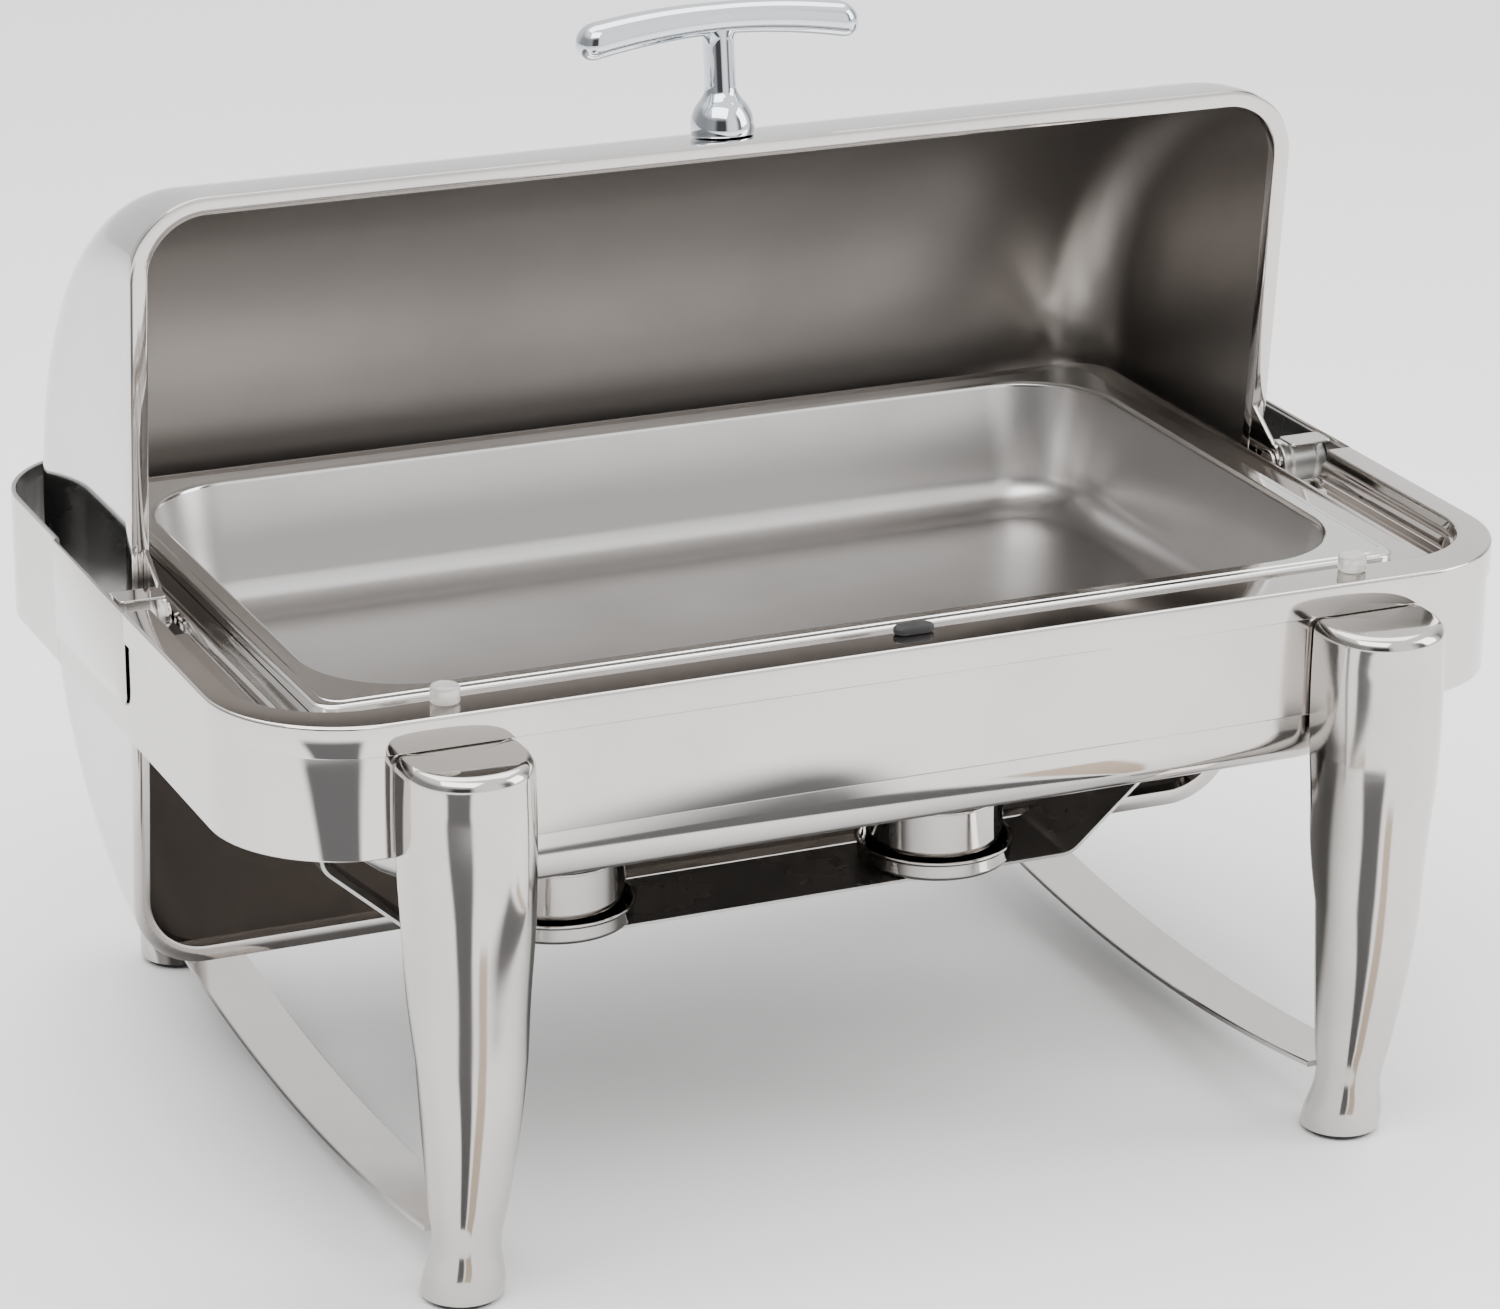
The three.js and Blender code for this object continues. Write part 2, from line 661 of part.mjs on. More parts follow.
// Swing cover: a disc with an eye at the back and a finger tab at the side.
function swingCover(x, y) {
  const eyeY = BURNER.cupR + 6;
  const shape = new THREE.Shape();
  const r = 30;
  const tab = 5;
  const start = Math.asin(tab / r);
  shape.absarc(0, 0, r, start, Math.PI * 2 - start, false);
  shape.lineTo(52, -tab);
  shape.absarc(52, 0, tab, -Math.PI / 2, Math.PI / 2, false);
  shape.closePath();
  const plate = toManifold(extruded(shape, 1.2, 20));
  const neck = new THREE.BoxGeometry(11, 16, 1.2);
  neck.translate(0, eyeY - 7, 0.6);
  const eye = disc(5.5, 0, 1.2, 16);
  eye.translate(0, eyeY, 0);
  const bore = disc(2.6, -1, 3, 16);
  bore.translate(0, eyeY, 0);
  const whole = plate.add(toManifold(neck)).add(toManifold(eye)).subtract(toManifold(bore));
  const geometry = fromManifold(whole);
  geometry.translate(x, y, BURNER.cupTop + GAP);
  return geometry;
}

function placeBurners() {
  for (const [word, side] of [["left", -1], ["right", 1]]) {
    const x = side * BURNER.x;
    const { y } = BURNER;
    const at = (geometry) => geometry.translate(x, y, 0);
    place(`fuel_dish_${word}`, at(fuelDish()), MIRROR);
    place(`fuel_cup_${word}`, at(fuelCup()), MIRROR);
    place(`fuel_can_${word}`, at(fuelCan()), PAINT);
    place(`fuel_cover_${word}`, swingCover(x, y), MIRROR);
    const top = BURNER.cupTop;
    const pin = turned([
      [0, top - 14], [2.3, top - 14], [2.3, top + 1.9], [4.5, top + 1.9], [4.5, top + 3.4], [0, top + 3.4],
    ], 16);
    pin.translate(x, y + BURNER.cupR + 6, 0);
    place(`cover_pin_${word}`, pin, MIRROR);
    place(`cover_bracket_${word}`, coverBracket(x, y), MIRROR);
  }
}

// Small upright behind each cup that carries the cover's pin.
function coverBracket(x, y) {
  const top = BURNER.cupTop - 3;
  const plate = new THREE.BoxGeometry(12, 5, 12);
  plate.translate(0, BURNER.cupR + 5.5, top - 6);
  const bore = disc(2.6, top - 20, top + 2, 16);
  bore.translate(0, BURNER.cupR + 6, 0);
  const eye = disc(5.6, top - 12, top, 16);
  eye.translate(0, BURNER.cupR + 6.4, 0);
  const cut = toManifold(plate).add(toManifold(eye)).subtract(toManifold(bore));
  const geometry = fromManifold(cut);
  geometry.translate(x, y, 0);
  return geometry;
}

// ---------------------------------------------------------------- assembly

function placeBody() {
  place("front_deck", frontDeck(), MIRROR);
  place("pan_collar", collar(), MIRROR);
  place("water_basin", waterBasin(), MIRROR);
  place("apron_front", apron(APRON_SEAM, -1, BODY.top), MIRROR);
  place("apron_rear", apron(APRON_SEAM + GAP, 1, RIM_TOP), MIRROR);
  place("lap_plate_left", lapPlate(-1), MIRROR);
  place("lap_plate_right", lapPlate(1), MIRROR);
  place("food_pan", foodPan(), SATIN);
  place("burner_shelf", shelf(), SATIN);
  place("brace_left", brace(-1), MIRROR);
  place("brace_right", brace(1), MIRROR);
}

function placeStops() {
  const low = RIM_TOP + GAP;
  const high = PIVOT.z + LID.plane - GAP;
  for (const [word, side] of [["left", -1], ["right", 1]]) {
    const bumper = turned([[0, low], [6.5, low], [6.5, high - 1], [5.6, high], [0, high]]);
    bumper.translate(side * 220, -190, 0);
    place(`bumper_${word}`, bumper, SILICONE);
  }
  const pad = new THREE.Shape();
  pad.absarc(-5.5, 0, 4, Math.PI / 2, (3 * Math.PI) / 2, false);
  pad.absarc(5.5, 0, 4, -Math.PI / 2, Math.PI / 2, false);
  pad.closePath();
  const geometry = extruded(pad, 3.4, 8);
  geometry.translate(0, -188.5, low);
  place("stop_pad", geometry, RUBBER);
}

placeBody();
placeLegs();
place("lid_shell", lidShell(), MIRROR);
handle();
hinges();
placeBurners();
placeStops();

export default part;
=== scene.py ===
import json
import logging
import math
from dataclasses import dataclass, field
from enum import Enum

import bmesh
import bpy
import numpy as np
from mathutils import Matrix, Vector


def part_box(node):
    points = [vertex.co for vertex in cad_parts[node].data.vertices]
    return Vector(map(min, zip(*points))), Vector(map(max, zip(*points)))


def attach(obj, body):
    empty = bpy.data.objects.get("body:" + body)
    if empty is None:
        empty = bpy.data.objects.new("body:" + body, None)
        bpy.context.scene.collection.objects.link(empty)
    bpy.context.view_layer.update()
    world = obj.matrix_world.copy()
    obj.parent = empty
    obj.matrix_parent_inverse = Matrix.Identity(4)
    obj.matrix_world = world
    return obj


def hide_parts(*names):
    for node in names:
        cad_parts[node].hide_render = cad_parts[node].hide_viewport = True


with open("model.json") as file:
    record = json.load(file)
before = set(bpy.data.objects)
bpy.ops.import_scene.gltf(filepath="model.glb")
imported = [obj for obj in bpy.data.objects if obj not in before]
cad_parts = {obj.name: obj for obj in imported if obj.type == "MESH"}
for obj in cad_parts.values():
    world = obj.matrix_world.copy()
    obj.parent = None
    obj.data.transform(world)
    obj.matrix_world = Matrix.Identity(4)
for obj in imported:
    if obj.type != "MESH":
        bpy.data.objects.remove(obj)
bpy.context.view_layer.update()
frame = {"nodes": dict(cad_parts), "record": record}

LOG = logging.getLogger("chafing_dish")
MM = 0.001
SHARP = math.radians(38)


class Worded(Enum):
    """Choices that have a word for use in piece names."""

    @property
    def word(self) -> str:
        """The choice's word."""
        return self.name.lower()


class Side(Worded):
    """The two ends of the body, as signs along X."""

    LEFT = -1
    RIGHT = 1


class End(Worded):
    """The two long faces of the body, as signs along Y."""

    FRONT = -1
    REAR = 1


# ------------------------------------------------------------------ surfaces


@dataclass
class Patch:
    """A grid of points, rows by columns, that becomes a sheet of quads."""

    grid: np.ndarray
    wrap_rows: bool = False
    wrap_columns: bool = False
    paint: int | list[int] = 0

    def paints(self, count: int) -> np.ndarray:
        """Paint number of every quad; a list holds one number for each strip between rows."""
        numbers = np.atleast_1d(self.paint)
        return np.repeat(numbers, count // len(numbers))

    def quads(self, base: int) -> np.ndarray:
        """Corner numbers of every quad.

        Args:
            base: number of the patch's first point in the whole mesh.

        Returns:
            An array of four corners for each quad.
        """
        rows, columns = self.grid.shape[:2]
        i = np.arange(rows if self.wrap_rows else rows - 1)[:, None]
        j = np.arange(columns if self.wrap_columns else columns - 1)[None, :]
        i2, j2 = (i + 1) % rows, (j + 1) % columns
        corners = (i * columns + j, i * columns + j2, i2 * columns + j2, i2 * columns + j)
        return base + np.stack(np.broadcast_arrays(*corners), axis=-1).reshape(-1, 4)


def make_piece(name: str, patches: list[Patch], materials: list[bpy.types.Material]) -> bpy.types.Object:
    """Joins patches into one closed mesh with its faces outwards.

    Args:
        name: the piece's name.
        patches: grids in metres, in the row frame.
        materials: the finishes that the patches' paint numbers pick from.

    Returns:
        The new object, at the origin.
    """
    points = np.concatenate([p.grid.reshape(-1, 3) for p in patches])
    bases = np.cumsum([0] + [p.grid.shape[0] * p.grid.shape[1] for p in patches[:-1]])
    quads = [p.quads(int(b)) for p, b in zip(patches, bases)]
    paint = np.concatenate([p.paints(len(q)) for p, q in zip(patches, quads)])
    mesh = bpy.data.meshes.new(name)
    mesh.from_pydata(points.astype(np.float32), [], np.concatenate(quads))
    mesh.polygons.foreach_set("material_index", paint.astype(np.int32))
    for material in materials:
        mesh.materials.append(material)
    close_mesh(mesh)
    piece = bpy.data.objects.new(name, mesh)
    bpy.context.scene.collection.objects.link(piece)
    return piece


def close_mesh(mesh: bpy.types.Mesh) -> None:
    """Merges doubled points, fills open ends, turns faces outwards and smooths the shading."""
    work = bmesh.new()
    work.from_mesh(mesh)
    bmesh.ops.remove_doubles(work, verts=work.verts, dist=2e-6)
    bmesh.ops.dissolve_degenerate(work, edges=work.edges, dist=1e-6)
    open_edges = [e for e in work.edges if e.is_boundary]
    if open_edges:
        bmesh.ops.holes_fill(work, edges=open_edges, sides=0)
    bmesh.ops.recalc_face_normals(work, faces=work.faces)
    work.to_mesh(mesh)
    work.free()
    mesh.shade_smooth()
    mesh.set_sharp_from_angle(angle=SHARP)
    mesh.update()


def soften(levels: np.ndarray, radius: float, closed: bool = False, steps: int = 5) -> np.ndarray:
    """Rounds the corners of a chain of levels.

    Each corner becomes a quadratic Bezier curve that starts and ends `radius` away from it,
    or at a third of the shorter neighbour segment, where that is less.

    Args:
        levels: rows of numbers, the first and last column of which measure distance.
        radius: the rounding distance.
        closed: whether the last level joins the first.
        steps: points on each rounded corner, less one.

    Returns:
        The longer chain of levels.
    """
    metric = levels[:, [0, -1]]
    before, after = np.roll(levels, 1, axis=0), np.roll(levels, -1, axis=0)
    reach_in = np.linalg.norm(metric - np.roll(metric, 1, axis=0), axis=1)
    reach_out = np.linalg.norm(metric - np.roll(metric, -1, axis=0), axis=1)
    cut = np.minimum(radius, np.minimum(reach_in, reach_out) / 3)
    share_in = (cut / np.maximum(reach_in, 1e-9))[:, None]
    share_out = (cut / np.maximum(reach_out, 1e-9))[:, None]
    start = levels + (before - levels) * share_in
    finish = levels + (after - levels) * share_out
    t = np.linspace(0, 1, steps + 1)[None, :, None]
    curve = (1 - t) ** 2 * start[:, None] + 2 * t * (1 - t) * levels[:, None] + t**2 * finish[:, None]
    if not closed:
        inner = curve[1:-1].reshape(-1, levels.shape[1])
        return np.concatenate([levels[:1], inner, levels[-1:]])
    return curve.reshape(-1, levels.shape[1])


def rect_rings(levels: np.ndarray, steps: int = 14) -> np.ndarray:
    """Rounded rectangles, one for each level.

    Args:
        levels: rows of half width, front Y, rear Y, corner radius and Z, in millimetres.
        steps: segments in each corner.

    Returns:
        A grid with one closed ring for each row, in metres.
    """
    half, front, rear, corner, z = (levels[:, i, None] for i in range(5))
    quarter = np.linspace(0, math.pi / 2, steps + 1)
    angle = np.concatenate([quarter + k * math.pi / 2 for k in range(4)])[None, :]
    right = np.repeat([1, -1, -1, 1], steps + 1)[None, :]
    back = np.repeat([1, 1, -1, -1], steps + 1)[None, :]
    x = right * (half - corner) + corner * np.cos(angle)
    y = np.where(back > 0, rear - corner, front + corner) + corner * np.sin(angle)
    return np.stack([x, y, np.broadcast_to(z, x.shape)], axis=-1) * MM


def u_paths(levels: np.ndarray, end_y: float, facing: End, steps: int = 18) -> np.ndarray:
    """Paths that run from the left end round two corners to the right end.

    Args:
        levels: rows of half width, reach along Y, corner radius and Z, in millimetres.
        end_y: where both ends stop.
        facing: whether the path goes round the front or the rear.
        steps: segments in each corner.

    Returns:
        A grid with one path for each row, in metres.
    """
    half, reach, corner, z = (levels[:, i, None] for i in range(4))
    sweep = np.linspace(0, math.pi / 2, steps + 1)[None, :]
    wide, deep = half - corner, reach - corner
    left_x, left_y = -(wide + corner * np.cos(sweep)), deep + corner * np.sin(sweep)
    x = np.concatenate([-half, left_x, -left_x[:, ::-1], half], axis=1)
    y = facing.value * np.concatenate([left_y, left_y[:, ::-1]], axis=1)
    ends = np.full_like(half, end_y)
    y = np.concatenate([ends, y, ends], axis=1)
    return np.stack([x, y, np.broadcast_to(z, x.shape)], axis=-1) * MM


def revolve(profile: np.ndarray, segments: int = 72) -> np.ndarray:
    """Turns a profile of radius and height about the Z axis, in metres."""
    angle = np.linspace(0, 2 * math.pi, segments, endpoint=False)[None, :]
    radius, height = profile[:, 0, None], profile[:, 1, None]
    level = np.broadcast_to(height, (len(profile), segments))
    grid = [radius * np.cos(angle), radius * np.sin(angle), level]
    return np.stack(grid, axis=-1) * MM


def turned(points: list[tuple[float, float]], rounding: float, closed: bool = False) -> Patch:
    """A turned solid from a profile of radius and height in millimetres, its corners rounded."""
    profile = soften(np.array(points, dtype=float), rounding, closed, steps=4)
    return Patch(revolve(profile), wrap_rows=closed, wrap_columns=True)


def moved(patch: Patch, matrix: Matrix) -> Patch:
    """The same patch after a rigid move given in metres."""
    turn = np.array(matrix.to_3x3())
    shift = np.array(matrix.to_translation())
    return Patch(patch.grid @ turn.T + shift, patch.wrap_rows, patch.wrap_columns, patch.paint)


def capped(grid: np.ndarray) -> np.ndarray:
    """The grid with its first and last rows drawn in to their middles."""
    first = np.broadcast_to(grid[0].mean(axis=0), grid[0].shape)
    last = np.broadcast_to(grid[-1].mean(axis=0), grid[-1].shape)
    return np.concatenate([first[None], grid, last[None]])


def through(stations: list[tuple[float, float]], z: np.ndarray) -> np.ndarray:
    """Smooth value through stations: a cubic Hermite curve with averaged slopes.

    Args:
        stations: pairs of height and value, heights rising.
        z: heights to read the value at.

    Returns:
        The values, in the shape of z.
    """
    at, value = np.array(stations, dtype=float).T
    slope = np.gradient(value, at)
    i = np.clip(np.searchsorted(at, z, side="right") - 1, 0, len(at) - 2)
    span = at[i + 1] - at[i]
    t = np.clip((z - at[i]) / span, 0, 1)
    rise = value[i] * (2 * t**3 - 3 * t**2 + 1) + value[i + 1] * (3 * t**2 - 2 * t**3)
    return rise + span * (slope[i] * (t**3 - 2 * t**2 + t) + slope[i + 1] * (t**3 - t**2))


def bevelled_plate(outline: np.ndarray, low: float, high: float, bevel: float,
                   spread: float = 1.0) -> Patch:
    """A flat plate from a closed outline of X and Y, with its edges eased.

    Args:
        outline: points round the plate, in millimetres.
        low: underside height.
        high: top height.
        bevel: how far the eased edge reaches down.
        spread: how much further than that it reaches in.

    Returns:
        A patch whose first and last rows shrink to the middle.
    """
    middle = outline.mean(axis=0)
    away = outline - middle
    size = np.linalg.norm(away, axis=1, keepdims=True)
    reach = bevel * spread
    levels = [(size, low), (reach, low), (0, low + bevel), (0, high - bevel), (reach, high), (size, high)]
    rows = [np.column_stack([outline - away / size * inset, np.full(len(outline), z)])
            for inset, z in levels]
    return Patch(np.stack(rows) * MM, wrap_columns=True)


# ------------------------------------------------------------------ finishes

Color = tuple[float, float, float]
Groups = dict[str, bpy.types.NodeTree]
STREAK_FINENESS = 900.0
SILICONE_IOR = 1.42


def add(tree: bpy.types.NodeTree, kind: str, feeds: dict[str, bpy.types.NodeSocket] | None = None,
        options: dict[str, object] | None = None, **values: float | tuple) -> bpy.types.Node:
    """A new shader node.

    Args:
        tree: the node tree it goes into.
        kind: its type, without the common prefix.
        feeds: outputs of other nodes, by the input they drive.
        options: the node's own settings.
        values: constants on its inputs, with underscores for spaces.

    Returns:
        The node.
    """
    node = tree.nodes.new(f"ShaderNode{kind}")
    for option, choice in (options or {}).items():
        setattr(node, option, choice)
    for label, value in values.items():
        node.inputs[label.replace("_", " ")].default_value = value
    for label, socket in (feeds or {}).items():
        tree.links.new(socket, node.inputs[label])
    return node


def new_group(name: str, output: str, **inputs: float) -> bpy.types.NodeTree:
    """An empty shader group with number inputs, at their defaults, and one number output."""
    tree = bpy.data.node_groups.new(name, "ShaderNodeTree")
    for label, value in inputs.items():
        socket = tree.interface.new_socket(label, in_out="INPUT", socket_type="NodeSocketFloat")
        socket.default_value = value
    tree.interface.new_socket(output, in_out="OUTPUT", socket_type="NodeSocketFloat")
    tree.nodes.new("NodeGroupInput")
    tree.nodes.new("NodeGroupOutput")
    return tree


def smudge_group() -> bpy.types.NodeTree:
    """Group of soft cloudy patches: a mask from 0 to 1 that varies over the surface."""
    tree = new_group("smudges", "Mask", Scale=9.0, Low=0.35, High=0.7)
    knobs = tree.nodes["Group Input"].outputs
    place = add(tree, "TexCoord").outputs["Object"]
    noise = add(tree, "TexNoise", {"Vector": place, "Scale": knobs["Scale"]}, Detail=5.0, Roughness=0.6)
    feeds = {"Value": noise.outputs["Fac"], "From Min": knobs["Low"], "From Max": knobs["High"]}
    spread = add(tree, "MapRange", feeds, {"interpolation_type": "SMOOTHSTEP"})
    tree.links.new(spread.outputs["Result"], tree.nodes["Group Output"].inputs["Mask"])
    return tree


def streak_group() -> bpy.types.NodeTree:
    """Group of fine streaks along X, as a height, for brushed and satin sheet."""
    tree = new_group("streaks", "Height", Fineness=STREAK_FINENESS, Stretch=0.04)
    knobs = tree.nodes["Group Input"].outputs
    place = add(tree, "TexCoord").outputs["Object"]
    ratio = add(tree, "CombineXYZ", {"X": knobs["Stretch"]}, Y=1.0, Z=1.0)
    stretch = add(tree, "Mapping", {"Vector": place, "Scale": ratio.outputs["Vector"]})
    feeds = {"Vector": stretch.outputs["Vector"], "Scale": knobs["Fineness"]}
    streak = add(tree, "TexNoise", feeds, Detail=3.0)
    tree.links.new(streak.outputs["Fac"], tree.nodes["Group Output"].inputs["Height"])
    return tree


def ripple_group() -> bpy.types.NodeTree:
    """Group of long shallow waves, the unevenness of drawn and polished sheet, as a height."""
    tree = new_group("ripples", "Height", Scale=5.0)
    feeds = {"Vector": add(tree, "TexCoord").outputs["Object"]}
    feeds["Scale"] = tree.nodes["Group Input"].outputs["Scale"]
    noise = add(tree, "TexNoise", feeds, Detail=1.0, Roughness=0.3)
    tree.links.new(noise.outputs["Fac"], tree.nodes["Group Output"].inputs["Height"])
    return tree


def bump(shader: bpy.types.Node, group: bpy.types.NodeTree, distance: float, **knobs: float) -> None:
    """Bumps a shader by a group's height, over any bump it already has.

    Args:
        shader: the shader whose normal is turned.
        group: the group that puts out the height.
        distance: how deep the relief is, in metres.
        knobs: the group's own inputs.
    """
    tree, normal = shader.id_data, shader.inputs["Normal"]
    relief = add(tree, "Group", None, {"node_tree": group}, **knobs)
    layer = add(tree, "Bump", {"Height": relief.outputs["Height"]}, Distance=distance)
    if normal.is_linked:
        tree.links.new(normal.links[0].from_socket, layer.inputs["Normal"])
    tree.links.new(layer.outputs["Normal"], normal)


@dataclass(frozen=True)
class Finish:
    """What every finish has: a material slot, and two close tints in cloudy patches."""

    name: str
    slot: str
    color: Color
    shade: Color
    smudge_scale: float = 9.0

    def start(self, groups: Groups) -> tuple[bpy.types.Material, bpy.types.Node, bpy.types.NodeSocket]:
        """The material with its tints.

        Args:
            groups: the shader groups by name.

        Returns:
            The material, its shader and the mask of the patches.
        """
        material = bpy.data.materials.new(self.name)
        material.use_nodes = True
        tree = material.node_tree
        shader = tree.nodes["Principled BSDF"]
        smudge = add(tree, "Group", None, {"node_tree": groups["smudges"]}, Scale=self.smudge_scale)
        mask = smudge.outputs["Mask"]
        tints = {"A": (*self.color, 1), "B": (*self.shade, 1)}
        mix = add(tree, "Mix", {"Factor": mask}, {"data_type": "RGBA"}, **tints)
        tree.links.new(mix.outputs["Result"], shader.inputs["Base Color"])
        return material, shader, mask


@dataclass(frozen=True)
class Metal(Finish):
    """A metal finish: its gloss range, and the depth of its ripples and grain in metres."""

    gloss: tuple[float, float] = (0.05, 0.1)
    grain: float = 0.0
    ripple: float = 0.0
    ripple_scale: float = 5.0

    def build(self, groups: Groups) -> bpy.types.Material:
        """The material, with the shared groups placed in it."""
        material, shader, mask = self.start(groups)
        shader.inputs["Metallic"].default_value = 1.0
        tree = material.node_tree
        low, high = self.gloss
        polish = add(tree, "MapRange", {"Value": mask}, To_Min=low, To_Max=high)
        tree.links.new(polish.outputs["Result"], shader.inputs["Roughness"])
        if self.ripple:
            bump(shader, groups["ripples"], self.ripple, Scale=self.ripple_scale)
        if self.grain:
            bump(shader, groups["streaks"], self.grain, Fineness=STREAK_FINENESS)
        return material


@dataclass(frozen=True)
class Soft(Finish):
    """A rubber, silicone or lacquer finish, with fine pimples."""

    smudge_scale: float = 60.0
    gloss: float = 0.5
    clear: float = 0.0
    pimple_depth: float = 0.00004
    pimple_scale: float = 700.0

    def build(self, groups: Groups) -> bpy.types.Material:
        """The material: a mottled colour over the pimples."""
        material, shader, _ = self.start(groups)
        shader.inputs["Roughness"].default_value = self.gloss
        shader.inputs["Transmission Weight"].default_value = self.clear
        shader.inputs["IOR"].default_value = SILICONE_IOR
        bump(shader, groups["ripples"], self.pimple_depth, Scale=self.pimple_scale)
        return material


FINISHES = {
    "mirror": Metal("mirror_polished_steel", "mirror_steel", (0.61, 0.585, 0.565), (0.56, 0.535, 0.515),
                    gloss=(0.045, 0.11), ripple=0.0006),
    "leg": Metal("polished_leg_pressing", "mirror_steel", (0.57, 0.545, 0.52), (0.51, 0.485, 0.46),
                 gloss=(0.08, 0.14), ripple=0.0002),
    "lid_out": Metal("polished_lid_barrel", "lid_steel", (0.68, 0.675, 0.67), (0.62, 0.615, 0.61),
                     gloss=(0.05, 0.11), ripple=0.0012, ripple_scale=3.0),
    # Lid's inside: the satin grain is real; its dark brownish tint is painted shade inside the barrel.
    "lid_in": Metal("satin_lid_lining", "lid_steel", (0.38, 0.355, 0.335), (0.33, 0.31, 0.295),
                    smudge_scale=3.0, gloss=(0.34, 0.44), grain=0.00002),
    "pan_in": Metal("satin_food_pan", "pan_steel", (0.62, 0.605, 0.595), (0.56, 0.545, 0.535),
                    smudge_scale=5.0, gloss=(0.30, 0.40), grain=0.000012),
    "pan_rim": Metal("polished_pan_flange", "pan_steel", (0.70, 0.69, 0.675), (0.65, 0.64, 0.625),
                     gloss=(0.10, 0.18), ripple=0.0002),
    # Inner faces of the apron sheets: dull gloss, with a dark tint that is painted shade for the inside of
    # the housing.
    "lining": Metal("dull_inner_face_painted_shade", "mirror_steel", (0.34, 0.335, 0.33), (0.28, 0.275, 0.27),
                    smudge_scale=6.0, gloss=(0.24, 0.34)),
    "plain": Metal("plain_rolled_steel", "plain_steel", (0.56, 0.55, 0.54), (0.50, 0.49, 0.48),
                   gloss=(0.22, 0.34), grain=0.00002),
    "satin": Metal("satin_hinge_tube", "plain_steel", (0.66, 0.65, 0.63), (0.60, 0.59, 0.57),
                   smudge_scale=30.0, gloss=(0.34, 0.44)),
    "chrome": Metal("bright_chrome", "handle_chrome", (0.68, 0.72, 0.77), (0.64, 0.68, 0.73),
                    smudge_scale=20.0, gloss=(0.025, 0.05)),
    "silicone": Soft("clear_silicone", "silicone", (0.86, 0.84, 0.80), (0.78, 0.76, 0.72),
                     gloss=0.22, clear=0.7),
    "rubber": Soft("black_rubber", "black_rubber", (0.018, 0.018, 0.019), (0.03, 0.03, 0.032), gloss=0.55),
    "lacquer": Soft("gold_can_lacquer", "can_paint", (0.62, 0.50, 0.22), (0.54, 0.43, 0.18), gloss=0.35),
}


class Shop:
    """Every material of the object, built once, and the way pieces are put in place."""

    def __init__(self) -> None:
        """Builds the shared groups and then each finish."""
        groups = {"smudges": smudge_group(), "streaks": streak_group(), "ripples": ripple_group()}
        self.made = {key: finish.build(groups) for key, finish in FINISHES.items()}

    def fit(self, name: str, node: str, patches: list[Patch], *keys: str, body: str = "stand") -> None:
        """Makes a piece in place of a CAD node and puts it on its body.

        Args:
            name: the piece's name.
            node: the CAD node it stands for.
            patches: its surfaces, whose paint numbers pick from the keys.
            keys: its finishes, in the order that the paint numbers pick them.
            body: the CAD body it moves with.
        """
        piece = make_piece(name, patches, [self.made[key] for key in keys])
        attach(piece, body)
        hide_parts(node)
        LOG.info("%s: %d faces", name, len(piece.data.polygons))

    def dress(self, node: str, key: str) -> None:
        """Gives a CAD node that stays its finish."""
        for material_slot in frame["nodes"][node].material_slots:
            material_slot.material = self.made[key]


def span(node: str) -> tuple[Vector, Vector]:
    """Lowest and highest corners of a CAD node, in millimetres."""
    low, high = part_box(node)
    return Vector(low) / MM, Vector(high) / MM


def standing(x: float, y: float) -> Matrix:
    """The move that stands a piece turned about Z at a place given in millimetres."""
    return Matrix.Translation(Vector((x, y, 0)) * MM)


def rounded(half: float, front: float, rear: float, corner: float, steps: int) -> np.ndarray:
    """Outline of a rectangle about X = 0 with rounded corners, in millimetres."""
    return rect_rings(np.array([[half, front, rear, corner, 0.0]]), steps)[0][:, :2] / MM


# ------------------------------------------------------------------ body


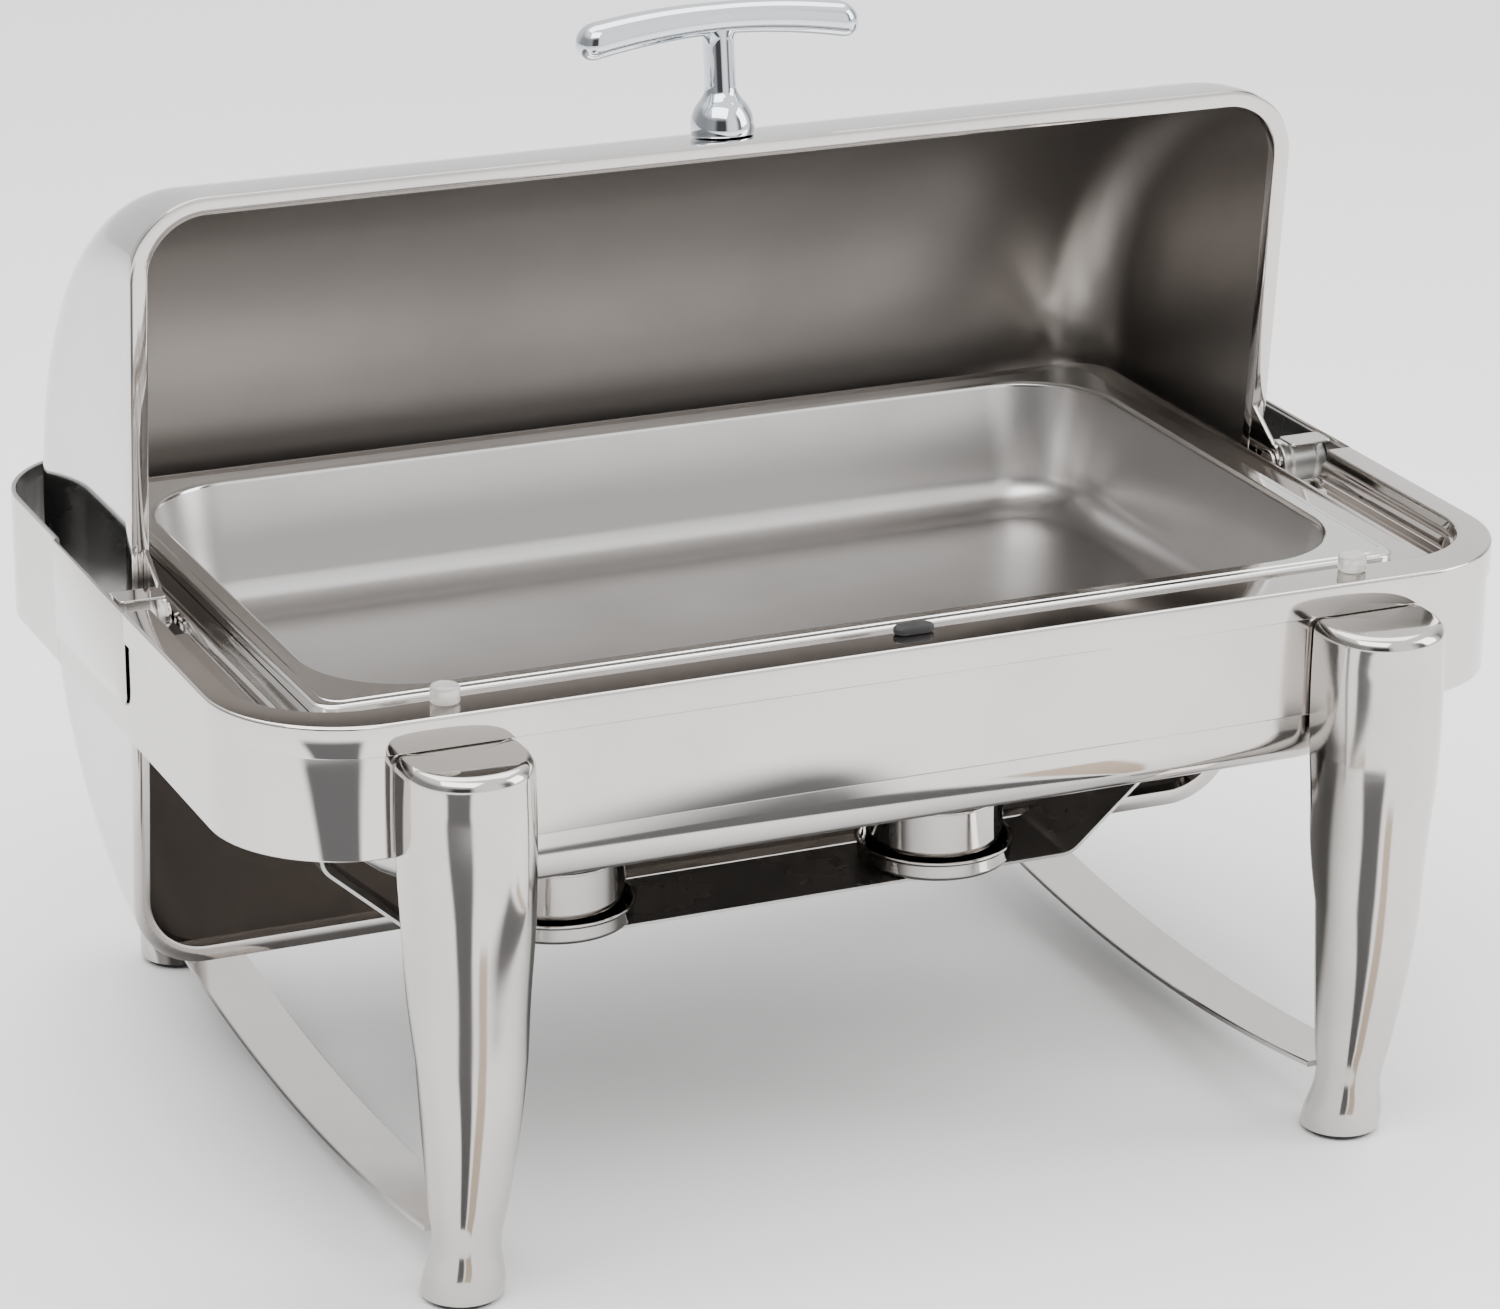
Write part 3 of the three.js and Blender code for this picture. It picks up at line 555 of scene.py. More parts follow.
@dataclass
class Body:
    """The fixed housing: deck, collar, water basin, apron sheets and lap plates."""

    sheet: float = 1.2
    gap: float = 0.3
    corner: float = 61.0
    seam: float = 80.0
    flange_front: float = 184.0
    flange_side: float = 299.0

    def __post_init__(self) -> None:
        """Reads the housing's outer sizes from the frame."""
        low, high = span("front_deck")
        self.rim_top, self.skirt_bottom, self.deck_end = high.z, low.z, high.y
        self.out = high.x
        self.reach = -low.y
        apron_low, apron_high = span("apron_front")
        self.half_x, self.half_y = apron_high.x, -apron_low.y
        self.bottom, self.apron_top = apron_low.z, apron_high.z
        self.floor = span("hinge_pin_left")[0].z + 7.0

    def deck(self, shop: Shop) -> None:
        """Skirt, flat rim, step and drip trough as one folded sheet round the front."""
        inner, top = self.half_x + self.gap, self.rim_top
        reach = self.half_y + self.gap
        section = np.array([
            [self.out, self.reach, 63, self.skirt_bottom + 0.6],
            [self.out, self.reach, 63, top],
            [self.flange_side, self.flange_front, 46, top],
            [298.2, 183.4, 45, top - 6],
            [296, 183.0, 43, top - 7.4],
            [294.8, 182.9, 41, self.floor],
            [282.4, 182.1, 24.6, self.floor],
            [282.4, 182.1, 24.6, self.floor - self.sheet],
            [296.0, 184.2, 42, self.floor - self.sheet],
            [299.4, 184.6, 46, top - 8.6],
            [300.2, 185.2, 47, top - self.sheet],
            [inner, reach, 61.5, top - self.sheet],
            [inner, reach, 61.5, self.skirt_bottom + 0.6],
        ])
        grid = u_paths(soften(section, 1.5, closed=True), self.deck_end, End.FRONT)
        shop.fit("deck_sheet", "front_deck", [Patch(grid, wrap_rows=True)], "mirror")

    def apron(self, shop: Shop, facing: End) -> None:
        """One apron sheet with a hemmed lower edge, and at the rear a hemmed upper edge."""
        rear = facing is End.REAR
        top = self.rim_top if rear else self.apron_top
        end = self.seam + self.gap if rear else self.seam
        t = self.sheet
        x, y, r = self.half_x, self.half_y, self.corner
        section = [[x, y, r, self.bottom], [x, y, r, top], [x - t, y - t, r - t, top]]
        if rear:
            section = [[x, y, r, self.bottom], [x, y, r, top], [x - 2 * t, y - 2 * t, r - 2 * t, top],
                       [x - 2 * t, y - 2 * t, r - 2 * t, top - 7], [x - t, y - t, r - t, top - 7.4]]
        section += [[x - t, y - t, r - t, self.bottom + 8],
                    [x - 2 * t, y - 2 * t, r - 2 * t, self.bottom + 7.6],
                    [x - 2 * t, y - 2 * t, r - 2 * t, self.bottom]]
        section = soften(np.array(section, dtype=float), 0.9, closed=True)
        # Faces on the inside of the sheet take the darker lining finish: painted shade inside the housing.
        inside = (section[:, 0] < x - t / 2).astype(int).tolist()
        patch = Patch(u_paths(section, end, facing), wrap_rows=True, paint=inside)
        shop.fit(f"apron_sheet_{facing.word}", f"apron_{facing.word}", [patch], "mirror", "lining")

    def collar(self, shop: Shop) -> None:
        """Ledge under the food pan with its drip ridge, one closed ring."""
        low, high = span("pan_collar")
        ledge = span("food_pan")[1].z - 6 - self.gap
        x, front, rear = high.x, low.y, high.y
        outer = [
            [x, front, rear, 24, low.z],
            [x, front, rear, 24, high.z - 2.4],
            [x - 2.2, front + 2.2, rear - 2.2, 22, high.z],
            [x - 5.3, front + 5.5, rear - 5, 20, high.z - 1.5],
            [x - 13.8, front + 21, rear - 9.8, 13, ledge],
            [x - 28.8, front + 35.9, rear - 24.4, 44, ledge],
        ]
        inner = [[a + 0.15, b - 0.15, c + 0.15, d, e - self.sheet] for a, b, c, d, e in reversed(outer[2:])]
        t = self.sheet
        inner += [[x - t, front + t, rear - t, 23, z] for z in (high.z - 3, low.z)]
        grid = rect_rings(soften(np.array(outer + inner, dtype=float), 1.4, closed=True))
        shop.fit("pan_ledge", "pan_collar", [Patch(grid, wrap_rows=True, wrap_columns=True)], "mirror")

    def basin(self, shop: Shop) -> None:
        """Drawn water basin, flush with the front apron and rounded along its lower edge."""
        low, high = span("water_basin")
        radius, t, corner = 22.0, self.sheet, 60.0
        levels = []
        for inset, sign in ((0.0, 1), (t, -1)):
            bend = np.linspace(0, math.pi / 2, 11)[::sign]
            r = radius - inset
            side = inset + r * (1 - np.sin(bend))
            z = low.z + inset + r * (1 - np.cos(bend))
            wall = np.column_stack([high.x - side, low.y + side, high.y - side, corner - side, z])
            rim = np.array([[high.x - inset, low.y + inset, high.y - inset, corner - inset, high.z]])
            levels += [wall, rim] if sign > 0 else [rim, wall]
        grid = capped(rect_rings(np.concatenate(levels)))
        shop.fit("water_basin_shell", "water_basin", [Patch(grid, wrap_columns=True)], "mirror")

    def lap_plates(self, shop: Shop) -> None:
        """Raised plate on each side beside the hinge, round at its lower corner, bevelled all round."""
        for side in Side:
            low, high = span(f"lap_plate_{side.word}")
            round_off = 8.0
            bend = np.linspace(0, math.pi / 2, 10)
            y = np.concatenate([[high.y, high.y], low.y + round_off * (1 - np.sin(bend)), [low.y]])
            z = np.concatenate([[high.z, low.z], low.z + round_off * (1 - np.cos(bend)), [high.z]])
            patch = bevelled_plate(np.column_stack([y, z]), low.x, high.x, (high.x - low.x) * 0.42, 2.4)
            patch.grid = patch.grid[..., [2, 0, 1]]
            shop.fit(f"side_lap_{side.word}", f"lap_plate_{side.word}", [patch], "mirror")

    def build(self, shop: Shop) -> None:
        """Builds and dresses the whole housing."""
        self.deck(shop)
        self.apron(shop, End.FRONT)
        self.apron(shop, End.REAR)
        self.collar(shop)
        self.basin(shop)
        self.lap_plates(shop)


@dataclass
class FoodPan:
    """The lift-out food pan: satin well, polished flange with a turned-down edge."""

    flange: float = 13.5
    open_corner: float = 48.0
    draft: float = 8.0
    bend: float = 20.0
    sheet: float = 0.8
    edge_drop: float = 6.0

    def well(self, grow: float) -> np.ndarray:
        """Levels of the well from floor to mouth: a quarter-round bend, then a drafted wall."""
        low, high = span("food_pan")
        turn = np.linspace(0, math.pi / 2, 12)
        radius = self.bend + grow
        inset = self.flange - grow + self.draft + radius * (1 - np.sin(turn))
        z = low.z + self.sheet - grow + radius * (1 - np.cos(turn))
        corner = np.maximum(self.open_corner + self.flange - inset, 8)
        bowl = np.column_stack([high.x - inset, low.y + inset, high.y - inset, corner, z])
        mouth = self.flange - grow
        top = high.z - 2.5 - grow / 2
        rim = [high.x - mouth, low.y + mouth, high.y - mouth, self.open_corner + grow, top]
        return np.vstack([bowl, rim])

    def build(self, shop: Shop) -> None:
        """Builds and dresses the pan."""
        low, high = span("food_pan")
        top, bottom, t = high.z, high.z - self.edge_drop, self.sheet

        def level(inset: float, corner: float, z: float) -> list[float]:
            return [high.x - inset, low.y + inset, high.y - inset, corner, z]

        mouth = self.flange
        flange = soften(np.array([
            self.well(0)[-1],
            level(mouth - 0.5, self.open_corner + 0.5, top - 1.2),
            level(mouth - 2.4, self.open_corner + 2.4, top),
            level(5.2, 9.5, top),
            level(4.4, 10, top - 0.5),
            level(1.6, 9, top - 0.5),
            level(0, 10, top - 1.6),
            level(0, 10, bottom),
            level(t, 9.2, bottom),
            level(t, 9.2, top - 1.8),
            level(mouth - 2.6, self.open_corner + 2.6, top - 1.0),
            self.well(t)[-1],
        ]), 1.2)
        patches = [
            Patch(rect_rings(self.well(0)), wrap_columns=True),
            Patch(rect_rings(flange), wrap_columns=True, paint=1),
            Patch(rect_rings(self.well(t)[::-1]), wrap_columns=True),
        ]
        for patch in (patches[0], patches[2]):
            first = patch is patches[0]
            row = patch.grid[0 if first else -1]
            floor = [row.mean(axis=0) + (row - row.mean(axis=0)) * share for share in (0, 0.5, 0.9)]
            extra = np.stack(floor if first else floor[::-1])
            patch.grid = np.concatenate([extra, patch.grid] if first else [patch.grid, extra])
        shop.fit("food_pan_pressing", "food_pan", patches, "pan_in", "pan_rim", body="food_pan")


# ------------------------------------------------------------------ lid


@dataclass
class Lid:
    """The barrel lid, its T-handle and its two hinges."""

    half_x: float = 292.0
    radius: float = 192.6
    shift: float = -3.4
    plane: float = 22.0
    fillet: float = 36.0
    sheet: float = 1.6
    band: float = 8.3
    lip: float = 7.0
    lean: float = math.radians(5.387)
    handle_angle: float = math.radians(12.5)
    pivot: Vector = field(default_factory=lambda: Vector((0, 0, 0)))

    def __post_init__(self) -> None:
        """Takes the hinge axis from the frame's joint."""
        joint = next(j for j in frame["record"]["behaviour"]["joints"] if j["name"] == "lid_roll")
        self.pivot = Vector(joint["pos_m"]) / MM

    def place(self, x: np.ndarray, u: np.ndarray, w: np.ndarray) -> np.ndarray:
        """Points from x across, u up the open rim plane and w back from the axis."""
        y = self.pivot.y - u * math.sin(self.lean) + w * math.cos(self.lean)
        z = self.pivot.z + u * math.cos(self.lean) + w * math.sin(self.lean)
        return np.stack(np.broadcast_arrays(x, y, z), axis=-1) * MM

    def skin(self, inset: float, plane: float, rows: int = 110, steps: int = 14) -> np.ndarray:
        """One skin of the barrel.

        A row runs down one flat end, over the rounded edge, across the barrel and down the
        other end. Rows go round the axis: the angle of a point at distance v from the axis
        is a share of acos(plane / v), so that every row starts and ends on the rim plane.

        Args:
            inset: how far the skin lies inside the outer one.
            plane: distance of its rim plane from the axis.
            rows: steps round the barrel.
            steps: steps over each rounded edge.

        Returns:
            The grid of the skin, in metres.
        """
        half, reach, fillet = self.half_x - inset, self.radius - inset, self.fillet - inset
        t = np.linspace(0, math.pi / 2, steps + 1)
        inner = reach - fillet
        x = np.concatenate([[half] * 4, half - fillet * (1 - np.cos(t)), [half - fillet - 3]])
        v = np.concatenate([[inner] * 4, reach - fillet * (1 - np.sin(t)), [reach]])
        drop = np.concatenate([[0, 0.06, 0.94, 0.985], np.ones(steps + 2)])
        share = np.linspace(-1, 1, rows + 1)[:, None]
        angle = share * np.arccos(plane / v)[None, :]
        u = self.shift + v * np.sin(angle)
        w = plane + (v * np.cos(angle) - plane) * drop
        side = self.place(x[None, :], u, w)
        mirrored = side * np.array([-1, 1, 1])
        return np.concatenate([mirrored, side[:, ::-1]], axis=1)

    @staticmethod
    def edge(grid: np.ndarray) -> np.ndarray:
        """The boundary of a skin as one closed loop."""
        return np.concatenate([grid[0], grid[1:-1, -1], grid[-1, ::-1], grid[1:-1, 0][::-1]])

    def shell(self, shop: Shop) -> None:
        """Barrel with a folded rim: polished outside, satin inside, its darker tint painted shade."""
        ease = 0.8
        outer = self.skin(0, self.plane + ease)
        inner = self.skin(self.sheet, self.plane + self.lip + 1)
        rim_steps = (
            (ease * 0.3, self.plane + ease * 0.3),
            (ease, self.plane),
            (self.band - ease, self.plane),
            (self.band - ease * 0.3, self.plane + ease * 0.3),
            (self.band, self.plane + ease),
            (self.band, self.plane + self.lip - ease),
            (self.band - ease, self.plane + self.lip),
            (self.sheet + 1, self.plane + self.lip),
        )
        loops = [self.edge(outer)]
        loops += [self.edge(self.skin(inset, plane)) for inset, plane in rim_steps]
        loops.append(self.edge(inner))
        patches = [
            Patch(outer),
            Patch(np.stack(loops), wrap_columns=True, paint=2),
            Patch(inner, paint=1),
        ]
        shop.fit("lid_barrel", "lid_shell", patches, "lid_out", "lid_in", "mirror", body="lid")

    def handle(self, shop: Shop) -> None:
        """T-handle: domed foot, round post that flares into an arched grip."""
        height = np.array([0.4, 0.4, 4.0, 9.0, 13.5, 17.0, 20.5, 26.0, 38.0, 44.0, 46.5, 49.0])
        wide = np.array([0.0, 14.6, 15.0, 14.3, 12.3, 9.6, 7.7, 7.4, 7.4, 7.5, 8.3, 10.5])
        deep = np.array([0.0, 14.6, 15.0, 14.3, 12.3, 9.6, 7.7, 7.4, 7.4, 7.4, 7.4, 7.0])
        fine = np.linspace(0, len(height) - 1, 90)
        rank = np.arange(len(height))
        z, a, b = (self.eased(fine, rank, row) for row in (height, wide, deep))
        turn = np.linspace(0, 2 * math.pi, 64, endpoint=False)[None, :]
        a, b, z = a[:, None], b[:, None], z[:, None]
        post = capped(np.stack(np.broadcast_arrays(a * np.cos(turn), b * np.sin(turn), z), -1) * MM)
        tilt = self.handle_angle - self.lean
        seat = Vector((0, 0, self.pivot.z))
        seat += Vector((0, -math.sin(self.lean), math.cos(self.lean))) * self.shift
        seat += Vector((0, math.sin(tilt), math.cos(tilt))) * self.radius
        pose = Matrix.Translation(seat * MM) @ Matrix.Rotation(-tilt, 4, "X")
        parts = [moved(Patch(grid, wrap_columns=True), pose) for grid in (post, self.grip())]
        shop.fit("lid_t_handle", "lid_handle", parts, "chrome", body="lid")

    @staticmethod
    def eased(fine: np.ndarray, rank: np.ndarray, row: np.ndarray) -> np.ndarray:
        """A row of stations read smoothly: linear over the flat foot, a smooth curve above it."""
        smooth = through(list(zip(rank[1:], row[1:])), np.maximum(fine, 1))
        return np.where(fine < 1, np.interp(fine, rank, row), smooth)

    def grip(self) -> np.ndarray:
        """Grip: oval sections along a shallow arc, deepest at the tips, closing on round ends."""
        half, rise, stations = 70.0, 7.0, 90
        t = -np.cos(np.linspace(0, math.pi, stations))[:, None]
        end = np.clip(np.abs(half * t) - (half - 9), 0, None) / 9
        size = np.sqrt(np.clip(1 - end**2, 0, 1))
        turn = np.linspace(0, 2 * math.pi, 48, endpoint=False)[None, :]
        ease = 0.85
        oval_y = np.sign(np.cos(turn)) * np.abs(np.cos(turn)) ** ease
        oval_z = np.sign(np.sin(turn)) * np.abs(np.sin(turn)) ** ease
        y = (8.5 + 1.5 * np.abs(t)) * size * oval_y
        z = 54 - rise * t**2 + (7.5 + 1.2 * np.abs(t)) * size * oval_z
        return np.stack(np.broadcast_arrays(half * t, y, z), axis=-1) * MM

    def hinges(self, shop: Shop) -> None:
        """Arm, pin, barrel and cap of each hinge."""
        for side in Side:
            onto = Matrix.Translation(self.pivot * MM) @ Matrix.Rotation(side.value * math.pi / 2, 4, "Y")
            pin_low, pin_high = span(f"hinge_pin_{side.word}")
            start, stop = sorted((abs(pin_low.x), abs(pin_high.x)))
            head = start + 1.7
            pin = turned([(0, start), (6.9, start), (6.9, head), (4, head), (4, stop), (0, stop)], 0.5)
            shop.fit(f"hinge_bolt_{side.word}", f"hinge_pin_{side.word}", [moved(pin, onto)], "mirror")
            tube_low, tube_high = span(f"hinge_barrel_{side.word}")
            a, b = sorted((abs(tube_low.x), abs(tube_high.x)))
            bush = turned([(4.3, a), (11, a), (11, a + 3), (10.2, a + 3.6), (10.2, a + 5), (11, a + 5.6),
                           (11, b - 5), (12.2, b - 4.6), (12.2, b), (4.3, b)], 0.6, closed=True)
            shop.fit(f"hinge_tube_{side.word}", f"hinge_barrel_{side.word}", [moved(bush, onto)], "satin")
            self.arm(shop, side)
            cap_low, cap_high = span(f"hinge_cap_{side.word}")
            ring = rounded((cap_high.x - cap_low.x) / 2, cap_low.y, cap_high.y, 2.0, 5)
            ring[:, 0] += (cap_low.x + cap_high.x) / 2
            plate = bevelled_plate(ring, cap_low.z, cap_high.z, 0.35)
            shop.fit(f"hinge_lug_{side.word}", f"hinge_cap_{side.word}", [plate], "mirror")

    def arm(self, shop: Shop, side: Side) -> None:
        """Hinge arm: a plate with a round eye, its straight edge on the lid's rim."""
        low, high = span(f"hinge_arm_{side.word}")
        inner, outer = sorted((abs(low.x), abs(high.x)))
        eye, bore, reach = 10.0, 4.3, self.plane - 0.3
        turn = np.linspace(math.pi, 2 * math.pi, 24)
        arc = np.column_stack([eye * np.cos(turn), eye * np.sin(turn)])
        edge = np.linspace([eye, 0], [22, reach], 6)[1:]
        base = np.linspace([22, reach], [-24, reach], 14)[1:]
        back = np.linspace([-24, reach], [-eye, 0], 8)[1:-1]
        outline = np.concatenate([arc, edge, base, back])
        away = np.arctan2(outline[:, 1], outline[:, 0])
        hole = bore * np.column_stack([np.cos(away), np.sin(away)])
        ease = 0.3
        scale = 1 - ease / np.linalg.norm(outline, axis=1, keepdims=True)
        rows = [(hole, inner), (outline * scale, inner), (outline, inner + ease),
                (outline, outer - ease), (outline * scale, outer), (hole, outer)]
        grid = np.stack([self.place(side.value * x, p[:, 0], p[:, 1]) for p, x in rows])
        patch = Patch(grid, wrap_rows=True, wrap_columns=True)
        shop.fit(f"hinge_lever_{side.word}", f"hinge_arm_{side.word}", [patch], "mirror", body="lid")

    def build(self, shop: Shop) -> None:
        """Builds and dresses the lid and its hinges."""
        self.shell(shop)
        self.handle(shop)
        self.hinges(shop)


# ------------------------------------------------------------------ legs


@dataclass
class Legs:
    """Four sabre legs with glides, and the two braces that hang between them."""

    top: float = 258.0
    round_top: float = 6.0
    front_line: tuple = ((0, -220), (9, -222.3), (26, -223), (50, -229), (95, -238.5), (145, -243),
                         (200, -247.5), (240, -246))
    back_line: tuple = ((0, -182.5), (9, -186), (26, -192.3), (50, -193), (95, -194), (145, -196),
                        (183, -203.5), (200, -204.9), (260, -204.9))
    half_width: tuple = ((0, 18.8), (9, 18.5), (26, 15.5), (50, 18), (95, 22.5), (145, 26.2), (200, 29),
                         (235, 29.5), (260, 29))

    def surface(self, base: float) -> np.ndarray:
        """The front left leg about its own middle plane, from its base to its top.

        A section is an oval at the ankle. Towards the panel its back squares off and its
        middle moves back, by powers of the sine and cosine, so that it ends as a D. Over the
        last stretch the section shrinks along a quarter circle to a bullnose.
        """
        body = np.linspace(base, self.top - self.round_top, 120)
        nose = self.top - self.round_top * (1 - np.sin(np.linspace(0, math.pi / 2, 28)[1:]))
        z = np.concatenate([body, nose])[:, None]
        over = np.clip((z - (self.top - self.round_top)) / self.round_top, 0, 1)
        shrink = np.sqrt(1 - np.minimum(over, 0.999) ** 2)
        back = np.where(z > 195, -204.9, np.minimum(through(list(self.back_line), z), -182))
        front = back - (back - through(list(self.front_line), z)) * (0.85 + 0.15 * shrink)
        half = through(list(self.half_width), z) * (0.84 + 0.16 * shrink)
        square = np.clip((z - 120) / 80, 0, 1)
        middle = (front + back) / 2 * (1 - square) + (back - 8) * square
        turn = np.linspace(0, 2 * math.pi, 96, endpoint=False)[None, :]
        cos, sin = np.cos(turn), np.sin(turn)
        power = np.where(sin > 0, 1 - 0.75 * square, 1 - 0.12 * square)
        x = half * np.sign(cos) * np.abs(cos) ** power
        deep = np.where(sin > 0, back - middle, middle - front)
        y = middle + deep * np.sign(sin) * np.abs(sin) ** power
        return np.stack(np.broadcast_arrays(x, y, z), axis=-1)

    def build(self, shop: Shop) -> None:
        """Builds and dresses the legs, glides and braces."""
        for facing in End:
            for side in Side:
                node = f"leg_{facing.word}_{side.word}"
                low, high = span(node)
                grid = self.surface(low.z)
                if facing is End.REAR:
                    grid = grid * np.array([-1, -1, 1])
                grid = grid + np.array([(low.x + high.x) / 2, 0, 0])
                shop.fit(f"sabre_{node}", node, [Patch(capped(grid * MM), wrap_columns=True)], "leg")
                self.glide(shop, f"foot_glide_{facing.word}_{side.word}")
        for side in Side:
            self.brace(shop, side)

    @staticmethod
    def glide(shop: Shop, node: str) -> None:
        """Round glide under a foot."""
        low, high = span(node)
        radius, middle = (high.x - low.x) / 2, (low + high) / 2
        disc = turned([(0, 0), (radius, 0), (radius, high.z), (0, high.z)], 0.6)
        shop.fit(f"{node}_pad", node, [moved(disc, standing(middle.x, middle.y))], "rubber")

    @staticmethod
    def brace(shop: Shop, side: Side) -> None:
        """Flat bar in a shallow arc, its edges eased: height rises with the square of Y."""
        low, high = span(f"brace_{side.word}")
        middle, half, thick, ease = (low.x + high.x) / 2, (high.x - low.x) / 2, 3.0, 0.5
        y = np.linspace(low.y, high.y, 90)[:, None]
        base = 13 + 17 * (y / 198) ** 2
        near, up = half - ease, thick - ease
        across = np.array([-near, near, half, half, near, -near, -half, -half])[None, :]
        above = np.array([0, 0, ease, up, thick, thick, up, ease])[None, :]
        grid = np.stack(np.broadcast_arrays(middle + across, y, base + above), axis=-1) * MM
        shop.fit(f"leg_brace_{side.word}", f"brace_{side.word}", [Patch(grid, wrap_columns=True)], "mirror")


# ------------------------------------------------------------------ fuel holders


@dataclass
class FuelHolders:
    """Shelf, and on it two dishes, cups, cans and swing covers."""

    cup_radius: float = 33.5
    dish_radius: float = 37.5

    def shelf(self, shop: Shop) -> None:
        """Bent strip: a flat carrier with rising ends and tabs under the basin, edges eased."""
        low, high = span("burner_shelf")
        top, t, tab = low.z + 1.5, 1.5, high.z
        right = [[163, top], [222, 136], [226, tab - t], [206, tab - t], [206, tab], [227.6, tab],
                 [223.6, 135.4], [163.6, top - t]]
        left = [[-x, z] for x, z in reversed(right)]
        outline = soften(np.array(right + left, dtype=float), 5.0, closed=True)
        ease = 0.3
        rows = [np.column_stack([outline[:, 0], np.full(len(outline), y), outline[:, 1]])
                for y in (low.y, low.y + ease, high.y - ease, high.y)]
        shop.fit("shelf_strip", "burner_shelf", [Patch(np.stack(rows) * MM, wrap_columns=True)], "plain")

    def holder(self, shop: Shop, side: Side) -> None:
        """Dish, cup, can, cover, pin and bracket on one side."""
        dish_low, dish_high = span(f"fuel_dish_{side.word}")
        cup_high = span(f"fuel_cup_{side.word}")[1]
        middle = (dish_low + dish_high) / 2
        at, word = standing(middle.x, middle.y), side.word
        r, base = self.dish_radius, dish_low.z
        dish = turned([(0, base), (r - 2, base), (r, base + 2), (r, base + 8.4), (r + 1.5, base + 9.4),
                       (r + 1.5, base + 10.8), (r - 0.6, base + 10.2), (r - 1, base + 2.6),
                       (r - 2.6, base + 1.2), (0, base + 1.2)], 0.8)
        shop.fit(f"burner_dish_{word}", f"fuel_dish_{word}", [moved(dish, at)], "mirror")
        r, base, top = self.cup_radius, base + 2.2, cup_high.z
        cup = turned([(0, base), (r - 3, base), (r, base + 3), (r, top - 1.4), (r + 1.4, top - 1.2),
                      (r + 1.4, top), (r - 1, top), (r - 1, base + 3.2), (r - 3.2, base + 1),
                      (0, base + 1)], 0.6)
        shop.fit(f"burner_cup_{word}", f"fuel_cup_{word}", [moved(cup, at)], "mirror")
        can_low, can_high = span(f"fuel_can_{side.word}")
        r, base, top = 30.0, can_low.z, can_high.z
        can = turned([(0, base), (r, base), (r, top - 1.5), (r - 1.5, top), (r - 3, top), (r - 4, top - 1.5),
                      (18, top - 1.5), (16, top - 4.5), (0, top - 4.5)], 0.6)
        shop.fit(f"gel_can_{word}", f"fuel_can_{word}", [moved(can, at)], "lacquer")
        self.cover(shop, side, middle)

    def cover(self, shop: Shop, side: Side, middle: Vector) -> None:
        """Swing cover as a thin plate, with its pin behind the cup; the bracket stays plain."""
        low, high = span(f"fuel_cover_{side.word}")
        tab, r = 5.0, 30.0
        start = math.asin(tab / r)
        rim = np.linspace(start, 2 * math.pi - start, 96)
        tip = np.linspace(-math.pi / 2, math.pi / 2, 14)
        disc = np.column_stack([r * np.cos(rim), r * np.sin(rim)])
        end = np.column_stack([52 + tab * np.cos(tip), tab * np.sin(tip)])
        run = np.linspace([disc[-1, 0], -tab], [50, -tab], 6)[1:]
        back = run[::-1] * np.array([1, -1])
        outline = np.concatenate([disc, run, end, back])
        plate = bevelled_plate(outline, low.z, high.z, 0.25)
        neck_ring = rounded(5.5, 24.0, self.cup_radius + 11.5, 5.4, 8)
        neck = bevelled_plate(neck_ring, low.z + 0.02, high.z - 0.02, 0.2)
        parts = [moved(part, standing(middle.x, middle.y)) for part in (plate, neck)]
        node = f"fuel_cover_{side.word}"
        shop.fit(f"cup_cover_{side.word}", node, parts, "mirror", body=node)
        pin_low, pin_high = span(f"cover_pin_{side.word}")
        foot, top = pin_low.z, pin_high.z
        pin = turned([(0, foot), (2.3, foot), (2.3, top - 1.5), (4.5, top - 1.5), (4.5, top), (0, top)], 0.5)
        pin_at = standing(middle.x, (pin_low.y + pin_high.y) / 2)
        shop.fit(f"cup_pin_{side.word}", f"cover_pin_{side.word}", [moved(pin, pin_at)], "mirror")
        shop.dress(f"cover_bracket_{side.word}", "mirror")

    def build(self, shop: Shop) -> None:
        """Builds and dresses the shelf and both holders."""
        self.shelf(shop)
        for side in Side:
            self.holder(shop, side)


@dataclass
class Stops:
    """Silicone bumpers and the rubber pad that the closed lid meets."""

    pad_depth: float = 8.0

    def build(self, shop: Shop) -> None:
        """Builds and dresses the stops."""
        for side in Side:
            low, high = span(f"bumper_{side.word}")
            middle, r = (low + high) / 2, (high.x - low.x) / 2
            stub = turned([(0, low.z), (r, low.z), (r, high.z - 1), (r - 1, high.z), (0, high.z)], 1.0)
            stub = moved(stub, standing(middle.x, middle.y))
            shop.fit(f"silicone_stop_{side.word}", f"bumper_{side.word}", [stub], "silicone")
        low, high = span("stop_pad")
        ring = rounded((high.x - low.x) / 2, low.y, high.y, self.pad_depth / 2 - 0.1, 10)
        plate = bevelled_plate(ring, low.z, high.z, 0.8)
        shop.fit("rubber_stop_pad", "stop_pad", [plate], "rubber")


# ------------------------------------------------------------------ studio


